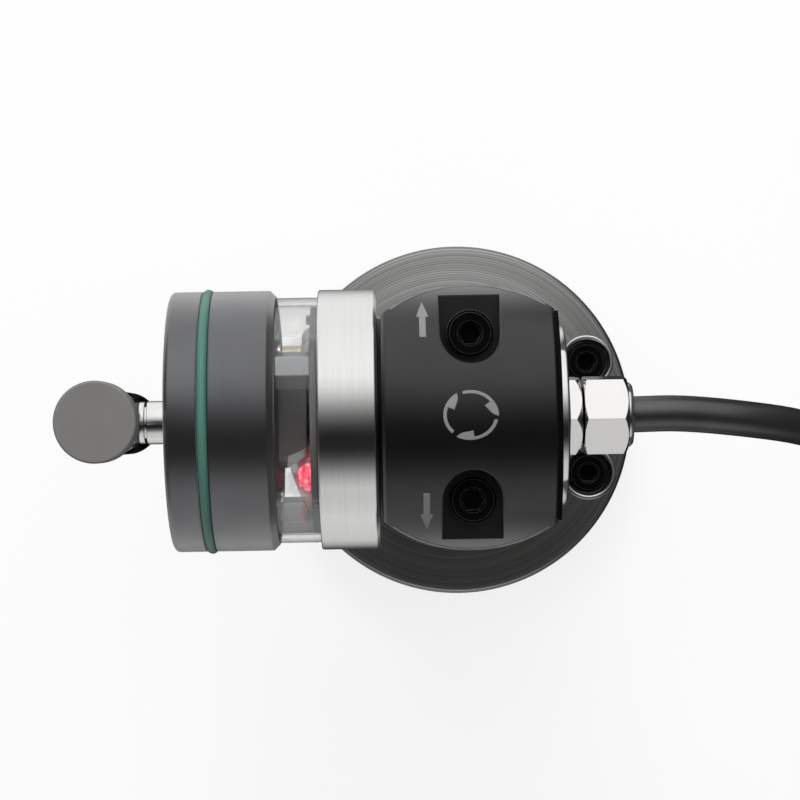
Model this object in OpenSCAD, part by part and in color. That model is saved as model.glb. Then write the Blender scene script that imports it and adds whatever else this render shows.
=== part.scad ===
// Cabled tool setter: a horizontal touch probe head on an arched housing, a pedestal and a round base.
// Origin at the centre of the base's underside, +Z up, head towards -X, cable towards +X.

/* [Base] */
// Diameter of the base flange
base_d = 62.5; // [60:0.5:70]
// Thickness of the base flange
base_t = 10; // [8:0.5:13]
// Chamfer on the flange's two edges
base_chamfer = 0.5; // [0.3:0.1:1]
// Distance between front and rear base screws
base_screw_dx = 47.2; // [46:0.2:48]
// Distance between left and right base screws
base_screw_dy = 20; // [18:0.5:22]
// Distance from front to rear of the screws that hold the pedestal
column_screw_dx = 12; // [12:0.5:14]
// Distance across the screws that hold the pedestal
column_screw_dy = 22; // [20:0.5:24]
// Tapping diameter of the stud hole in the middle of the base
stud_hole_d = 8.5; // [6.8:0.1:8.6]

/* [Screws] */
// Thread diameter of the socket screws
screw_d = 4; // [3.5:0.1:4.2]
// Diameter of a socket screw's head
screw_head_d = 7; // [6.5:0.1:7.2]
// Height of a socket screw's head
screw_head_h = 4; // [3.5:0.1:4.2]
// Width across flats of the hexagon socket
screw_key = 3; // [2.5:0.1:3.2]
// Diameter of the counterbores in the base
screw_counterbore_d = 8.2; // [7.8:0.1:8.6]

/* [Pedestal and housing] */
// Height of the probe axis above the underside of the base
axis_h = 70; // [66:1:80]
// Diameter of the upright cylinder that rounds pedestal and housing
column_d = 40.6; // [40:0.1:41]
// Radius of the housing's arched top
arch_r = 20.7; // [20.6:0.1:21.5]
// Chamfer on the arch's front and rear edges
arch_chamfer = 0.45; // [0.3:0.05:0.6]
// Distance from the upright axis to the housing's front face
housing_front = 13.3; // [13:0.1:14]
// Distance from the upright axis to the housing's rear face
housing_rear = 12.6; // [12.2:0.1:13.5]
// Height of the joint between pedestal and housing
split_h = 46; // [42:0.5:48]
// Depth and height of the groove around that joint
parting_groove = 0.6; // [0.3:0.1:1]
// Diameter of the spigot that the housing swivels on
swivel_spigot_d = 16; // [12:0.5:18]
// Height of the swivel spigot
swivel_spigot_h = 4; // [3:0.5:6]
// Swivel to either side that the clamp screws' slots allow, in degrees
swivel_deg = 4; // [2:0.5:4.5]
// Width of the pockets around the clamp screws
pocket_w = 9.2; // [9.1:0.1:10]
// Height of the pockets' floors above the probe axis
pocket_floor = 9.6; // [9:0.1:11]
// Distance between the two clamp screws
clamp_screw_dy = 24.8; // [24.2:0.1:25.4]
// Length of the clamp screws' shanks
clamp_screw_len = 45; // [42:0.5:48]
// Diameter of the wire passage through the housing
wire_passage_d = 8; // [6:0.5:8.4]

/* [Clamp ring and window] */
// Diameter of the probe head and of the clamp ring
head_d = 40; // [39.6:0.1:42]
// Length of the clamp ring
ring_len = 8.95; // [8.5:0.1:11]
// Thickness of the clamp ring's rear web
ring_web = 5.8; // [5:0.1:6.4]
// Chamfer on the clamp ring's rear edge
ring_chamfer = 0.5; // [0.3:0.1:0.8]
// Gap between clamp ring and housing
neck_gap = 0.55; // [0.3:0.05:1]
// Diameter of the seal in that gap
neck_d = 37.2; // [34:0.2:38.4]
// Visible length of the window
window_gap = 6.5; // [5.5:0.05:9]
// Outer diameter of the window tube
window_d = 37.7; // [37:0.1:38]
// Wall of the window tube
window_wall = 1.15; // [0.9:0.05:1.4]
// Depth that the window tube reaches into the head
window_seat = 1.9; // [1.6:0.1:2.2]
// Thickness of the gaskets at the window tube's ends
gasket_t = 0.5; // [0.3:0.05:0.6]
// Diameter of the spigot that joins clamp ring and housing
spigot_d = 24; // [20:0.5:26]
// Depth of that spigot in the housing
spigot_depth = 8.5; // [6:0.5:9]
// Thickness of the spigot's flange
spigot_flange_t = 3.3; // [3.2:0.05:4]
// Thickness of the lamp board
board_t = 1; // [0.8:0.1:1.2]
// Diameter of the lamp lenses
lamp_d = 3.5; // [2.5:0.1:3.5]
// Height of the lamp lenses
lamp_h = 1.4; // [1:0.1:1.5]
// Diameter of the lit lenses
lit_d = 4.2; // [3.5:0.1:4.2]
// Height of the lit lenses
lit_h = 2.4; // [2.1:0.1:2.6]
// Distance of the lamps from the probe axis
lamp_r = 13.3; // [13.2:0.1:13.6]
// Width across flats of the hexagonal pillars in the window
pillar_af = 5; // [4.4:0.1:5]
// Distance of the pillars from the probe axis
pillar_r = 14.6; // [14.2:0.1:14.6]
// Height of the contact block's top above the probe axis
contact_top = 5; // [4.6:0.1:6]

/* [Head] */
// Length of the head shell
head_len = 16.05; // [15.8:0.05:18]
// Radius of the rounded front edge
head_round = 0.8; // [0.8:0.1:1.5]
// Chamfer on the head's rear edge
head_chamfer = 0.9; // [0.5:0.1:0.9]
// Thickness of the head's front wall
head_front_t = 3.4; // [3.2:0.1:3.4]
// Inner diameter of the head shell
head_bore_d = 31; // [28:0.5:32]
// Distance from the head's front face to its O-ring
ring_seal_at = 5.7; // [5:0.1:8]
// Thickness of the O-ring's cord
ring_seal_cord = 1.6; // [1.2:0.1:1.9]
// Height that the O-ring stands proud of the head
ring_seal_proud = 0.35; // [0.2:0.05:0.5]
// Outer diameter of the screwed lip in the head's front
lip_d = 20; // [19:0.5:24]
// Length of the lip
lip_len = 2.6; // [2.2:0.1:2.6]
// Diameter of the lip's opening around the stem
lip_hole_d = 10; // [9.6:0.1:10]
// Thickness of the plate at the back of the head
plate_t = 2.9; // [2.6:0.1:3.1]
// Height that this plate stands out of the head
plate_proud = 0.2; // [0:0.05:0.4]

/* [Stylus mechanism] */
// Distance from the head's front face back to the pivot
pivot_back = 6.85; // [6.8:0.05:7]
// Diameter of the pivot ball
ball_d = 4; // [3.6:0.1:4]
// Diameter of the stylus hub
hub_d = 9.2; // [8:0.1:9.4]
// Diameter of the hub's nose
hub_nose_d = 6.8; // [6.7:0.1:7.2]
// Outer radius of the domed shield behind the lip
shield_r = 6.3; // [6.2:0.05:6.3]
// Thickness of the shield
shield_t = 0.8; // [0.6:0.05:0.8]
// Half angle that the shield spans, in degrees
shield_deg = 54; // [52:1:56]
// Diameter of the plunger's head
plunger_d = 7.2; // [6.4:0.1:7.4]
// Length of the plunger's head
plunger_len = 2.8; // [2.7:0.05:3]
// Diameter of the plunger's shaft
plunger_shaft_d = 3; // [2.6:0.1:3.2]
// Straight travel of the plunger
plunger_travel = 2; // [1:0.1:2]
// Outer diameter of the plunger's bush
bush_d = 6.2; // [5.6:0.1:6.4]
// Outer diameter of the plunger's retaining clip
clip_d = 5.6; // [4.6:0.1:5.8]
// Thickness of the clip
clip_t = 0.5; // [0.4:0.05:0.6]
// Wire diameter of the plunger's spring
spring_wire_d = 0.5; // [0.4:0.05:0.6]
// Number of turns in the spring
spring_turns = 3; // [2:0.5:4]
// Thickness of the sealing diaphragm
diaphragm_t = 0.4; // [0.3:0.05:0.6]

/* [Stylus] */
// Diameter of the stem
stem_d = 6.7; // [6:0.1:6.8]
// Length of the stem in front of the head
stem_out = 4.05; // [4:0.05:5]
// Width of the stem's breaking groove
stem_groove_w = 0.4; // [0.3:0.05:0.6]
// Diameter at the bottom of that groove
stem_groove_d = 5.1; // [4.6:0.1:5.4]
// Width of the stem's collar
collar_w = 0.95; // [0.8:0.05:1.3]
// Diameter of the stem's collar
collar_d = 6.55; // [6:0.05:6.6]
// Diameter of the stylus holder
holder_d = 9.7; // [9.2:0.1:10.4]
// Distance from the holder's axis to its flat
holder_flat = 2.6; // [2.6:0.05:3]
// Height of the holder above the probe axis
holder_top = 7; // [6.5:0.1:8]
// Depth of the holder below the probe axis
holder_bottom = 8; // [7.5:0.1:9]
// Depth of the flat's step below the probe axis
holder_step = 4.2; // [3.8:0.1:5]
// Diameter of the stylus post's shoulder
post_shoulder_d = 9.2; // [8:0.1:9.4]
// Height of the post's shoulder
post_shoulder_h = 3.5; // [3:0.1:5]
// Diameter of the stylus post
post_d = 5; // [4.6:0.1:6]
// Height of the touch disc's top above the probe axis
disc_top = 35; // [32:0.5:38]
// Thickness of the touch disc
disc_t = 5; // [4:0.1:6]
// Diameter of the touch disc
disc_d = 11.6; // [10:0.1:12]
// Chamfer on the touch disc
disc_chamfer = 0.25; // [0.1:0.05:0.4]

/* [Rear cap and cable gland] */
// Diameter of the polished rear cap
cap_d = 28; // [26:0.1:29]
// Thickness of the rear cap
cap_t = 2.3; // [2:0.1:3]
// Height of the rear cap's crown over its rim
cap_crown = 1.1; // [0.6:0.1:1.2]
// Diameter of the cap's boss in the housing
cap_boss_d = 20; // [18:0.5:22]
// Depth of the cap's boss
cap_boss_h = 4; // [3:0.5:5]
// Diameter of the washer under the gland
washer_d = 13; // [12:0.1:14]
// Thickness of the washer
washer_t = 0.4; // [0.3:0.05:0.8]
// Width across flats of the gland
gland_af = 12; // [11.6:0.1:13]
// Thickness of the gland body's hexagon
gland_hex_t = 1.9; // [1.6:0.1:2.4]
// Gap between the gland body's hexagon and the nut
gland_gap = 0.4; // [0.3:0.05:0.8]
// Length of the gland nut's hexagon
nut_len = 6.8; // [6.2:0.1:8]
// Length of the nut's round end
nut_end = 0.8; // [0.6:0.1:1.2]
// Diameter of the gland body's rear thread
gland_thread_d = 9.4; // [9.2:0.1:9.8]
// Diameter of the gland body's front thread
gland_tail_d = 8; // [7.4:0.1:8.4]

/* [Cable] */
// Diameter of the cable
cable_d = 5.6; // [5:0.1:5.7]

/* [Hidden] */
$fn = 72;

// Clearances and small allowances
seat_clear = 0.05;
thread_clear = 0.05;
screw_clear = 0.2;
swivel_gap = 0.1;
bush_clear = 0.03;
socket_clear = 0.05;
screw_bevel = 0.4;
tip_chamfer = 0.4;
socket_depth = 2.4;
cut = 1;

// Base
base_r = base_d / 2;
counterbore_depth = screw_head_h + 0.4;
base_screw_tip = 0.5;
sink_d = 2 * screw_d;
sink_h = (sink_d - screw_d) / 2;
sink_under = 0.3;
column_thread = 8;
sink_key = 2.5;

// Housing
clamp_tip_h = axis_h + pocket_floor + swivel_gap - clamp_screw_len;
slot_spare_deg = 0.6;

// Stations along the probe axis
x_face = -housing_front;
x_ring_rear = x_face - neck_gap;
x_ring_front = x_ring_rear - ring_len;
x_web = x_ring_rear - ring_web;
x_tube_rear = x_web - gasket_t;
x_board_rear = x_web - spigot_flange_t;
x_board_front = x_board_rear - board_t;
x_head_rear = x_ring_front - window_gap;
x_head_front = x_head_rear - head_len;
x_tube_front = x_head_rear - window_seat;
x_tube_step = x_tube_front - gasket_t;
x_plate_rear = x_head_rear + plate_proud;
x_plate_front = x_plate_rear - plate_t;
x_wall = x_head_front + head_front_t;
x_lip_rear = x_head_front + lip_len;
x_ring_seal = x_head_front + ring_seal_at;
x_pivot = x_head_front + pivot_back;

// Radii about the probe axis
head_r = head_d / 2;
tube_r = window_d / 2;
tube_inner_r = tube_r - window_wall;
tube_seat_r = tube_r + 2 * seat_clear;
disc_fit_r = tube_inner_r - 0.25;
plate_seat_r = disc_fit_r + seat_clear;
spigot_r = spigot_d / 2;
lip_r = lip_d / 2;
lip_shoulder = 1.5;
lip_flare = 1.5;
lip_pin_d = 1.6;
lip_pin_depth = 1.2;
seal_groove_r = head_r + ring_seal_proud - ring_seal_cord;

// Stylus mechanism
ball_r = ball_d / 2;
socket_r = ball_r + socket_clear;
hub_rear = x_pivot - 0.4;
hub_front = x_pivot - 2.7;
nose_front = x_pivot - 5.7;
plunger_front = x_pivot + 0.5;
plunger_rear = plunger_front + plunger_len;
plunger_tail = x_plate_rear + clip_t + 1.4;
clip_groove = 0.3;
spring_r = (plunger_shaft_d + spring_wire_d) / 2 + 0.6;
stem_thread_d = 4;
stem_thread = 2.8;
diaphragm_x = hub_rear - 1;
diaphragm_in_r = hub_d / 2 + seat_clear;

// Stylus
x_groove = x_head_front - stem_out;
x_collar = x_groove - stem_groove_w;
x_flat = x_collar - collar_w;
x_stylus = x_flat - holder_flat;
holder_r = holder_d / 2;
holder_chamfer = 0.4;
holder_thread = 3;
post_thread = 4;
grub_d = 3;
grub_len = 4.6;
grub_key = 1.5;
grub_sink = 0.3;
disc_floor = disc_top - disc_t;
post_cone = 1.5;

// Parts in the window
pillar_turn = 15;
unlit_deg = [22, 40, 158, 320];
lit_deg = [130, 230];
chip_w = 1.4;
chip_len = 1.8;
chip_h = 0.7;
chip_out = 0.9;
chip_deg = 18;
block_left = 7.3;
block_left_top = 6.4;
block_right_top = 5.6;
block_right = 10.4;
block_shelf = 3;
block_foot = 7;
block_foot_left = 5;
block_foot_right = 7;
block_nose = 1.2;
block_gap = 0.9;
block_taper = 5.4;
block_bevel = 3;
block_bevel_deg = 32;
clip_room = 0.4;
strip_t = 0.3;
strip_h = 2.3;
strip_drop = 5.5;
tab_at = 0.6;
tab_len = 3.1;
tab_t = 0.8;
tab_h = 1;
tab_drop = 4.4;
plate_screw_at = 11.9;
plate_screw_d = 2.2;
plate_screw_h = 0.5;

// Rear cap and gland
x_cap_rear = housing_rear + cap_t;
x_washer_rear = x_cap_rear + washer_t;
x_hex_rear = x_washer_rear + gland_hex_t;
x_nut = x_hex_rear + gland_gap;
x_nut_hex = x_nut + nut_len;
x_gland_end = x_nut_hex + nut_end;
gland_tail = 7;
nut_bevel = 0.4;
gland_seal_wall = 1.2;
gland_seal_len = 4.6;
cable_r = cable_d / 2;
cable_hole_r = cable_r + 0.1;
cap_round = 0.4;
cap_r = cap_d / 2;
cap_flat_r = washer_d / 2 + 0.3;
cap_steps = 5;
hex_point_r = gland_af / 2 / cos(30);

// Cable: route points, coil and tie
cable_lift = 0.6;
coil_x = 116;
coil_y = 14;
coil_columns = 4;
coil_layers = 3;
coil_mean_r = 33.6;
coil_out_r = coil_mean_r + coil_columns / 2 * cable_d;
coil_in_r = coil_mean_r - coil_columns / 2 * cable_d;
coil_top = cable_lift + coil_layers * cable_d;
coil_entry_deg = -90;
coil_end_deg = 160;
tie_w = 8;
tie_t = 0.5;
tie_deg = 222;
sleeve_len = 14;
sleeve_t = 0.3;
coil_end_r = coil_in_r + 1.5 * cable_d + sleeve_t + seat_clear;
lead_d = 1.4;
lead_len = 18;
lead_pitch = 1.7;
cable_sides = 10;
cable_start = [18.5, 0, 70];
cable_route = [
    cable_start, [25, 0, 70], [33, 0, 70], [43, -1, 68.5], [52.5, -2.5, 64], [60, -5, 57], [65, -8, 48],
    [68, -11, 39.5], [71, -14, 31], [74.5, -17.5, 22], [79, -21, 14.5], [85.5, -24.5, 8.5], [93, -27, 4.8],
    [101, -28, 3.4], [108.5, -28, 3.4], [116, -28, 3.4]
];

// Solid of revolution about the probe axis, from points of [station, radius]
module turned(profile)
    translate([0, 0, axis_h])
        rotate([0, 90, 0])
            rotate_extrude()
                polygon([for (p = profile) [p[1], p[0]]]);

// Ring about the probe axis
module tube_x(r_in, r_out, x0, x1)
    turned([[x0, r_in], [x0, r_out], [x1, r_out], [x1, r_in]]);

// Rod along X, placed across and above the probe axis
module rod_x(r, x0, x1, y = 0, z = 0)
    translate([x0, y, axis_h + z])
        rotate([0, 90, 0])
            cylinder(r = r, h = x1 - x0);

// Hexagonal prism along X with a corner on top
module hex_x(af, x0, x1)
    translate([x0, 0, axis_h])
        rotate([0, 90, 0])
            cylinder(r = af / 2 / cos(30), h = x1 - x0, $fn = 6);

// Socket head screw with its seat at height 0 and its shank pointing down
module socket_screw(shank)
    difference() {
        rotate_extrude()
            polygon([
                [0, -shank], [screw_d / 2 - tip_chamfer, -shank], [screw_d / 2, tip_chamfer - shank],
                [screw_d / 2, 0], [screw_head_d / 2, 0], [screw_head_d / 2, screw_head_h - screw_bevel],
                [screw_head_d / 2 - screw_bevel, screw_head_h], [0, screw_head_h]
            ]);
        translate([0, 0, screw_head_h - socket_depth])
            cylinder(r = screw_key / 2 / cos(30), h = socket_depth + cut, $fn = 6);
    }

// Four places at the corners of a rectangle
module corners(dx, dy)
    for (sx = [-1, 1], sy = [-1, 1])
        translate([sx * dx / 2, sy * dy / 2, 0])
            children();

// Plan of pedestal and housing: a round column with flat front and rear
module column_plan(inset = 0)
    intersection() {
        circle(r = column_d / 2 - inset);
        translate([inset - housing_front, -column_d])
            square([housing_front + housing_rear - 2 * inset, 2 * column_d]);
    }

// Place on a lamp board or plate, at an angle from +Y towards +Z
module around_axis(x, r, angle)
    translate([x, r * cos(angle), axis_h + r * sin(angle)])
        children();

// Base flange with counterbored screw holes, countersinks underneath and a tapped stud hole
module base_flange()
    color("dimgray")
        difference() {
            rotate_extrude()
                polygon([
                    [0, 0], [base_r - base_chamfer, 0], [base_r, base_chamfer],
                    [base_r, base_t - base_chamfer], [base_r - base_chamfer, base_t], [0, base_t]
                ]);
            corners(base_screw_dx, base_screw_dy) {
                translate([0, 0, -cut])
                    cylinder(r = screw_d / 2 + screw_clear, h = base_t + 2 * cut);
                translate([0, 0, base_t - counterbore_depth])
                    cylinder(r = screw_counterbore_d / 2, h = counterbore_depth + cut);
            }
            corners(column_screw_dx, column_screw_dy) {
                translate([0, 0, -cut])
                    cylinder(r = screw_d / 2 + screw_clear, h = base_t + 2 * cut);
                rotate_extrude()
                    polygon([
                        [0, -cut], [sink_d / 2, -cut], [sink_d / 2, sink_under],
                        [screw_d / 2, sink_under + sink_h], [0, sink_under + sink_h]
                    ]);
            }
            translate([0, 0, -cut])
                cylinder(r = stud_hole_d / 2, h = base_t + 2 * cut);
        }

// Four socket screws that hold the base on the machine table
module base_screws()
    color("black")
        corners(base_screw_dx, base_screw_dy)
            translate([0, 0, base_t - counterbore_depth])
                socket_screw(base_t - counterbore_depth - base_screw_tip);

// Countersunk screws from below that hold the pedestal on the flange
module column_screws()
    color("black")
        corners(column_screw_dx, column_screw_dy)
            difference() {
                rotate_extrude()
                    polygon([
                        [0, sink_under], [sink_d / 2 - seat_clear, sink_under],
                        [screw_d / 2, sink_under + sink_h - seat_clear],
                        [screw_d / 2, base_t + column_thread], [0, base_t + column_thread]
                    ]);
                translate([0, 0, sink_under - cut])
                    cylinder(r = sink_key / 2 / cos(30), h = sink_h + cut, $fn = 6);
            }

// Pedestal with a swivel spigot on top
module pedestal()
    color("dimgray")
        difference() {
            union() {
                translate([0, 0, base_t])
                    linear_extrude(split_h - base_t - parting_groove)
                        column_plan();
                translate([0, 0, split_h - parting_groove])
                    linear_extrude(parting_groove)
                        column_plan(parting_groove);
                translate([0, 0, split_h])
                    cylinder(r = swivel_spigot_d / 2, h = swivel_spigot_h);
            }
            corners(column_screw_dx, column_screw_dy)
                translate([0, 0, base_t - cut])
                    cylinder(r = screw_d / 2 + thread_clear, h = column_thread + 2 * cut);
            for (side = [-1, 1])
                translate([0, side * clamp_screw_dy / 2, clamp_tip_h - cut])
                    cylinder(r = screw_d / 2 + thread_clear, h = split_h - clamp_tip_h + 2 * cut);
        }

// Two long screws that clamp the housing on the pedestal
module clamp_screws()
    color("black")
        for (side = [-1, 1])
            translate([0, side * clamp_screw_dy / 2, clamp_tip_h + clamp_screw_len])
                socket_screw(clamp_screw_len);

// Slot along an arc about the upright axis, in which a clamp screw's shank can swing
module swivel_slot()
    for (side = [-1, 1])
        rotate([0, 0, 90 * side]) {
            turn = swivel_deg + slot_spare_deg;
            slot_r = screw_d / 2 + screw_clear;
            translate([0, 0, split_h]) {
                rotate([0, 0, -turn])
                    rotate_extrude(angle = 2 * turn)
                        translate([clamp_screw_dy / 2 - slot_r, 0])
                            square([2 * slot_r, axis_h + pocket_floor - split_h + cut]);
                for (end = [-turn, turn])
                    rotate([0, 0, end])
                        translate([clamp_screw_dy / 2, 0, 0])
                            cylinder(r = slot_r, h = axis_h + pocket_floor - split_h + cut);
            }
        }

// Pocket around one clamp screw: round inside, open at the side of the arch
module screw_pocket(side)
    translate([0, 0, axis_h + pocket_floor])
        linear_extrude(arch_r)
            union() {
                translate([0, side * clamp_screw_dy / 2])
                    circle(r = pocket_w / 2);
                translate([-pocket_w / 2, side > 0 ? clamp_screw_dy / 2 : -clamp_screw_dy / 2 - column_d])
                    square([pocket_w, column_d]);
            }

// Housing: arched block, swivel bore below, sockets for spigot and rear cap
module housing()
    color([0.12, 0.12, 0.13])
        difference() {
            intersection() {
                translate([0, 0, split_h + swivel_gap])
                    linear_extrude(axis_h + arch_r - split_h)
                        column_plan();
                union() {
                    turned([
                        [x_face, 0], [x_face, arch_r - arch_chamfer], [x_face + arch_chamfer, arch_r],
                        [housing_rear - arch_chamfer, arch_r], [housing_rear, arch_r - arch_chamfer],
                        [housing_rear, 0]
                    ]);
                    translate([-2 * housing_front, -column_d, 0])
                        cube([2 * (housing_front + housing_rear), 2 * column_d, axis_h]);
                }
            }
            for (side = [-1, 1])
                screw_pocket(side);
            swivel_slot();
            translate([0, 0, split_h - cut])
                cylinder(r = swivel_spigot_d / 2 + seat_clear, h = swivel_spigot_h + cut + 2 * swivel_gap);
            rod_x(spigot_r + seat_clear, x_face - cut, x_face + spigot_depth + seat_clear);
            rod_x(wire_passage_d / 2, x_face, housing_rear);
            rod_x(cap_boss_d / 2 + seat_clear, housing_rear - cap_boss_h - seat_clear, housing_rear + cut);
        }

// Seal between housing and clamp ring
module neck_seal()
    color([0.05, 0.05, 0.05])
        tube_x(spigot_r + seat_clear, neck_d / 2, x_ring_rear, x_face);

// Stainless clamp ring: a cup that holds the window tube's rear end
module clamp_ring()
    color("silver")
        turned([
            [x_ring_front, tube_seat_r], [x_ring_front, head_r - ring_chamfer / 3],
            [x_ring_front + ring_chamfer / 3, head_r], [x_ring_rear - ring_chamfer, head_r],
            [x_ring_rear, head_r - ring_chamfer], [x_ring_rear, spigot_r + seat_clear],
            [x_web, spigot_r + seat_clear], [x_web, tube_seat_r]
        ]);

// Turned nose that carries the lamp board and pulls the clamp ring to the housing
module spigot()
    color("gray")
        turned([
            [x_board_rear, wire_passage_d / 2], [x_board_rear, disc_fit_r], [x_web, disc_fit_r],
            [x_web, spigot_r], [x_face + spigot_depth, spigot_r], [x_face + spigot_depth, wire_passage_d / 2]
        ]);

// Clear window tube
module window_tube()
    color([0.9, 0.95, 0.95, 0.35])
        tube_x(tube_inner_r, tube_r, x_tube_front, x_tube_rear);

// Flat gaskets at both ends of the window tube
module window_gaskets()
    color([0.08, 0.08, 0.08]) {
        tube_x(tube_inner_r + seat_clear, tube_r, x_tube_step, x_tube_front);
        tube_x(tube_inner_r + seat_clear, tube_r, x_tube_rear, x_web);
    }

// Round board that carries the lamps
module lamp_board()
    color([0.2, 0.21, 0.21])
        tube_x(wire_passage_d / 2, disc_fit_r, x_board_front, x_board_rear);

// Domed lens on the lamp board
module lens(angle, d, h)
    around_axis(x_board_front, lamp_r, angle)
        rotate([0, -90, 0])
            intersection() {
                cylinder(r = d / 2, h = h);
                translate([0, 0, h - d / 2])
                    sphere(r = d / 2);
            }

// Unlit lenses
module lamp_lenses()
    color([0.5, 0.5, 0.5])
        for (angle = unlit_deg)
            lens(angle, lamp_d, lamp_h);

// Lit lenses
module lamp_lit()
    color("red")
        for (angle = lit_deg)
            lens(angle, lit_d, lit_h);

// Small chip beside the first lens
module board_chip()
    color([0.3, 0.3, 0.3])
        around_axis(x_board_front, lamp_r + lamp_d / 2 + chip_out, chip_deg)
            translate([-chip_h, -chip_w / 2, -chip_len / 2])
                cube([chip_h, chip_w, chip_len]);

// Switch block between the front plate and the lamp board
module contact_block()
    color([0.24, 0.24, 0.24])
        difference() {
            intersection() {
                translate([x_plate_rear, 0, axis_h])
                    rotate([90, 0, 90])
                        linear_extrude(x_board_front - x_plate_rear)
                            polygon([
                                [-block_left, 0.6 * contact_top], [-block_left_top, contact_top],
                                [block_right_top, contact_top], [block_right_top, contact_top - block_shelf],
                                [block_right, contact_top - block_shelf], [block_right, -contact_top],
                                [block_foot_right, -block_foot], [-block_foot_left, -block_foot],
                                [-block_left, -contact_top]
                            ]);
                union() {
                    translate([0, 0, axis_h - 2 * contact_top])
                        linear_extrude(4 * contact_top)
                            polygon([
                                [x_plate_rear, block_right + cut], [x_plate_rear, -block_left],
                                [x_plate_rear + block_nose, -block_left],
                                [x_board_front - block_gap, -block_taper],
                                [x_board_front - block_gap, block_right + cut]
                            ]);
                    translate([x_plate_rear, -block_taper, axis_h - 2 * contact_top])
                        cube([
                            x_board_front - x_plate_rear, block_right + cut + block_taper,
                            3 * contact_top - block_shelf
                        ]);
                }
            }
            rod_x(clip_d / 2 + clip_room, x_plate_rear - cut, x_board_front + cut);
            translate([x_plate_rear, -2 * block_left, axis_h + contact_top])
                rotate([0, block_bevel_deg, 0])
                    translate([-block_bevel, 0, 0])
                        cube([block_bevel, 2 * block_left + 2 * block_right, block_bevel]);
        }

// Gold contact strip on the side of the switch block, with a standing tab
module contact_strip()
    color("gold") {
        translate([x_plate_rear, block_right, axis_h + contact_top - strip_drop])
            cube([x_board_front - x_plate_rear, strip_t, strip_h]);
        translate([x_plate_rear + tab_at, block_right + strip_t, axis_h + contact_top - tab_drop])
            cube([tab_len, tab_t, tab_h]);
    }

// Hexagonal pillars that carry the head on the lamp board
module pillars()
    color([0.35, 0.36, 0.37])
        for (angle = [60, 180, 300])
            around_axis(x_plate_rear, pillar_r, angle)
                rotate([0, 90, 0])
                    rotate([0, 0, pillar_turn])
                        cylinder(r = pillar_af / 2 / cos(30), h = x_board_front - x_plate_rear, $fn = 6);

// Plate at the back of the head
module front_plate()
    color([0.25, 0.25, 0.26])
        tube_x(bush_d / 2 + seat_clear, disc_fit_r, x_plate_front, x_plate_rear);

// Small round-headed screws on the back of that plate
module plate_screws()
    color("silver")
        for (angle = [30, 165, 258])
            around_axis(x_plate_rear, plate_screw_at, angle)
                rotate([0, 90, 0])
                    cylinder(r = plate_screw_d / 2, h = plate_screw_h);

// Guide bush of the plunger
module guide_bush()
    color("goldenrod")
        tube_x(plunger_shaft_d / 2 + bush_clear, bush_d / 2, x_plate_front, x_plate_rear);

// Turned head shell: rounded front edge, O-ring groove, stepped bore
module head_shell()
    color([0.33, 0.34, 0.35])
        translate([0, 0, axis_h])
            rotate([0, 90, 0])
                rotate_extrude()
                    difference() {
                        union() {
                            polygon([
                                [0, x_head_front], [head_r - head_round, x_head_front],
                                [head_r, x_head_front + head_round], [head_r, x_head_rear - head_chamfer],
                                [head_r - head_chamfer, x_head_rear], [0, x_head_rear]
                            ]);
                            translate([head_r - head_round, x_head_front + head_round])
                                circle(r = head_round);
                        }
                        translate([seal_groove_r, x_ring_seal - ring_seal_cord / 2 - seat_clear])
                            square([head_r, ring_seal_cord + 2 * seat_clear]);
                        translate([0, x_head_front - cut])
                            square([lip_r + seat_clear, lip_len + cut]);
                        translate([0, x_head_front])
                            square([lip_r - lip_shoulder, head_len]);
                        translate([0, x_wall])
                            square([head_bore_d / 2, head_len]);
                        translate([0, x_plate_front])
                            square([plate_seat_r, head_len]);
                        translate([0, x_tube_step])
                            square([tube_seat_r, head_len]);
                    }

// Green O-ring in the head's groove
module head_oring()
    color([0.15, 0.42, 0.34])
        translate([x_ring_seal, 0, axis_h])
            rotate([0, 90, 0])
                rotate_extrude()
                    translate([seal_groove_r + ring_seal_cord / 2, 0])
                        circle(r = ring_seal_cord / 2 - 0.01);

// Screwed lip in the head's front, flared outwards, with two pin holes
module front_lip()
    color([0.12, 0.12, 0.12])
        difference() {
            turned([
                [x_head_front, lip_hole_d / 2 + lip_flare], [x_head_front, lip_r], [x_lip_rear, lip_r],
                [x_lip_rear, lip_hole_d / 2], [x_head_front + lip_flare, lip_hole_d / 2]
            ]);
            for (side = [-1, 1])
                rod_x(lip_pin_d / 2, x_head_front - cut, x_head_front + lip_pin_depth,
                    side * (lip_r + lip_hole_d / 2 + lip_flare) / 2);
        }

// Thin sealing diaphragm between head shell and stylus hub
module diaphragm()
    color([0.1, 0.1, 0.1])
        tube_x(diaphragm_in_r, head_bore_d / 2, diaphragm_x - diaphragm_t / 2, diaphragm_x + diaphragm_t / 2);

// Spring plunger with a ball socket in its head
module plunger()
    color("lightgray")
        difference() {
            turned([
                [plunger_front, 0], [plunger_front, plunger_d / 2], [plunger_rear, plunger_d / 2],
                [plunger_rear, plunger_shaft_d / 2], [x_plate_rear + seat_clear, plunger_shaft_d / 2],
                [x_plate_rear + seat_clear, plunger_shaft_d / 2 - clip_groove],
                [x_plate_rear + seat_clear + clip_t, plunger_shaft_d / 2 - clip_groove],
                [x_plate_rear + seat_clear + clip_t, plunger_shaft_d / 2],
                [plunger_tail, plunger_shaft_d / 2], [plunger_tail, 0]
            ]);
            translate([x_pivot, 0, axis_h])
                sphere(r = socket_r);
        }

// Retaining clip that stops the plunger at rest
module plunger_clip()
    color("gray")
        tube_x(plunger_shaft_d / 2 - clip_groove, clip_d / 2, x_plate_rear + seat_clear,
            x_plate_rear + seat_clear + clip_t);

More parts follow.
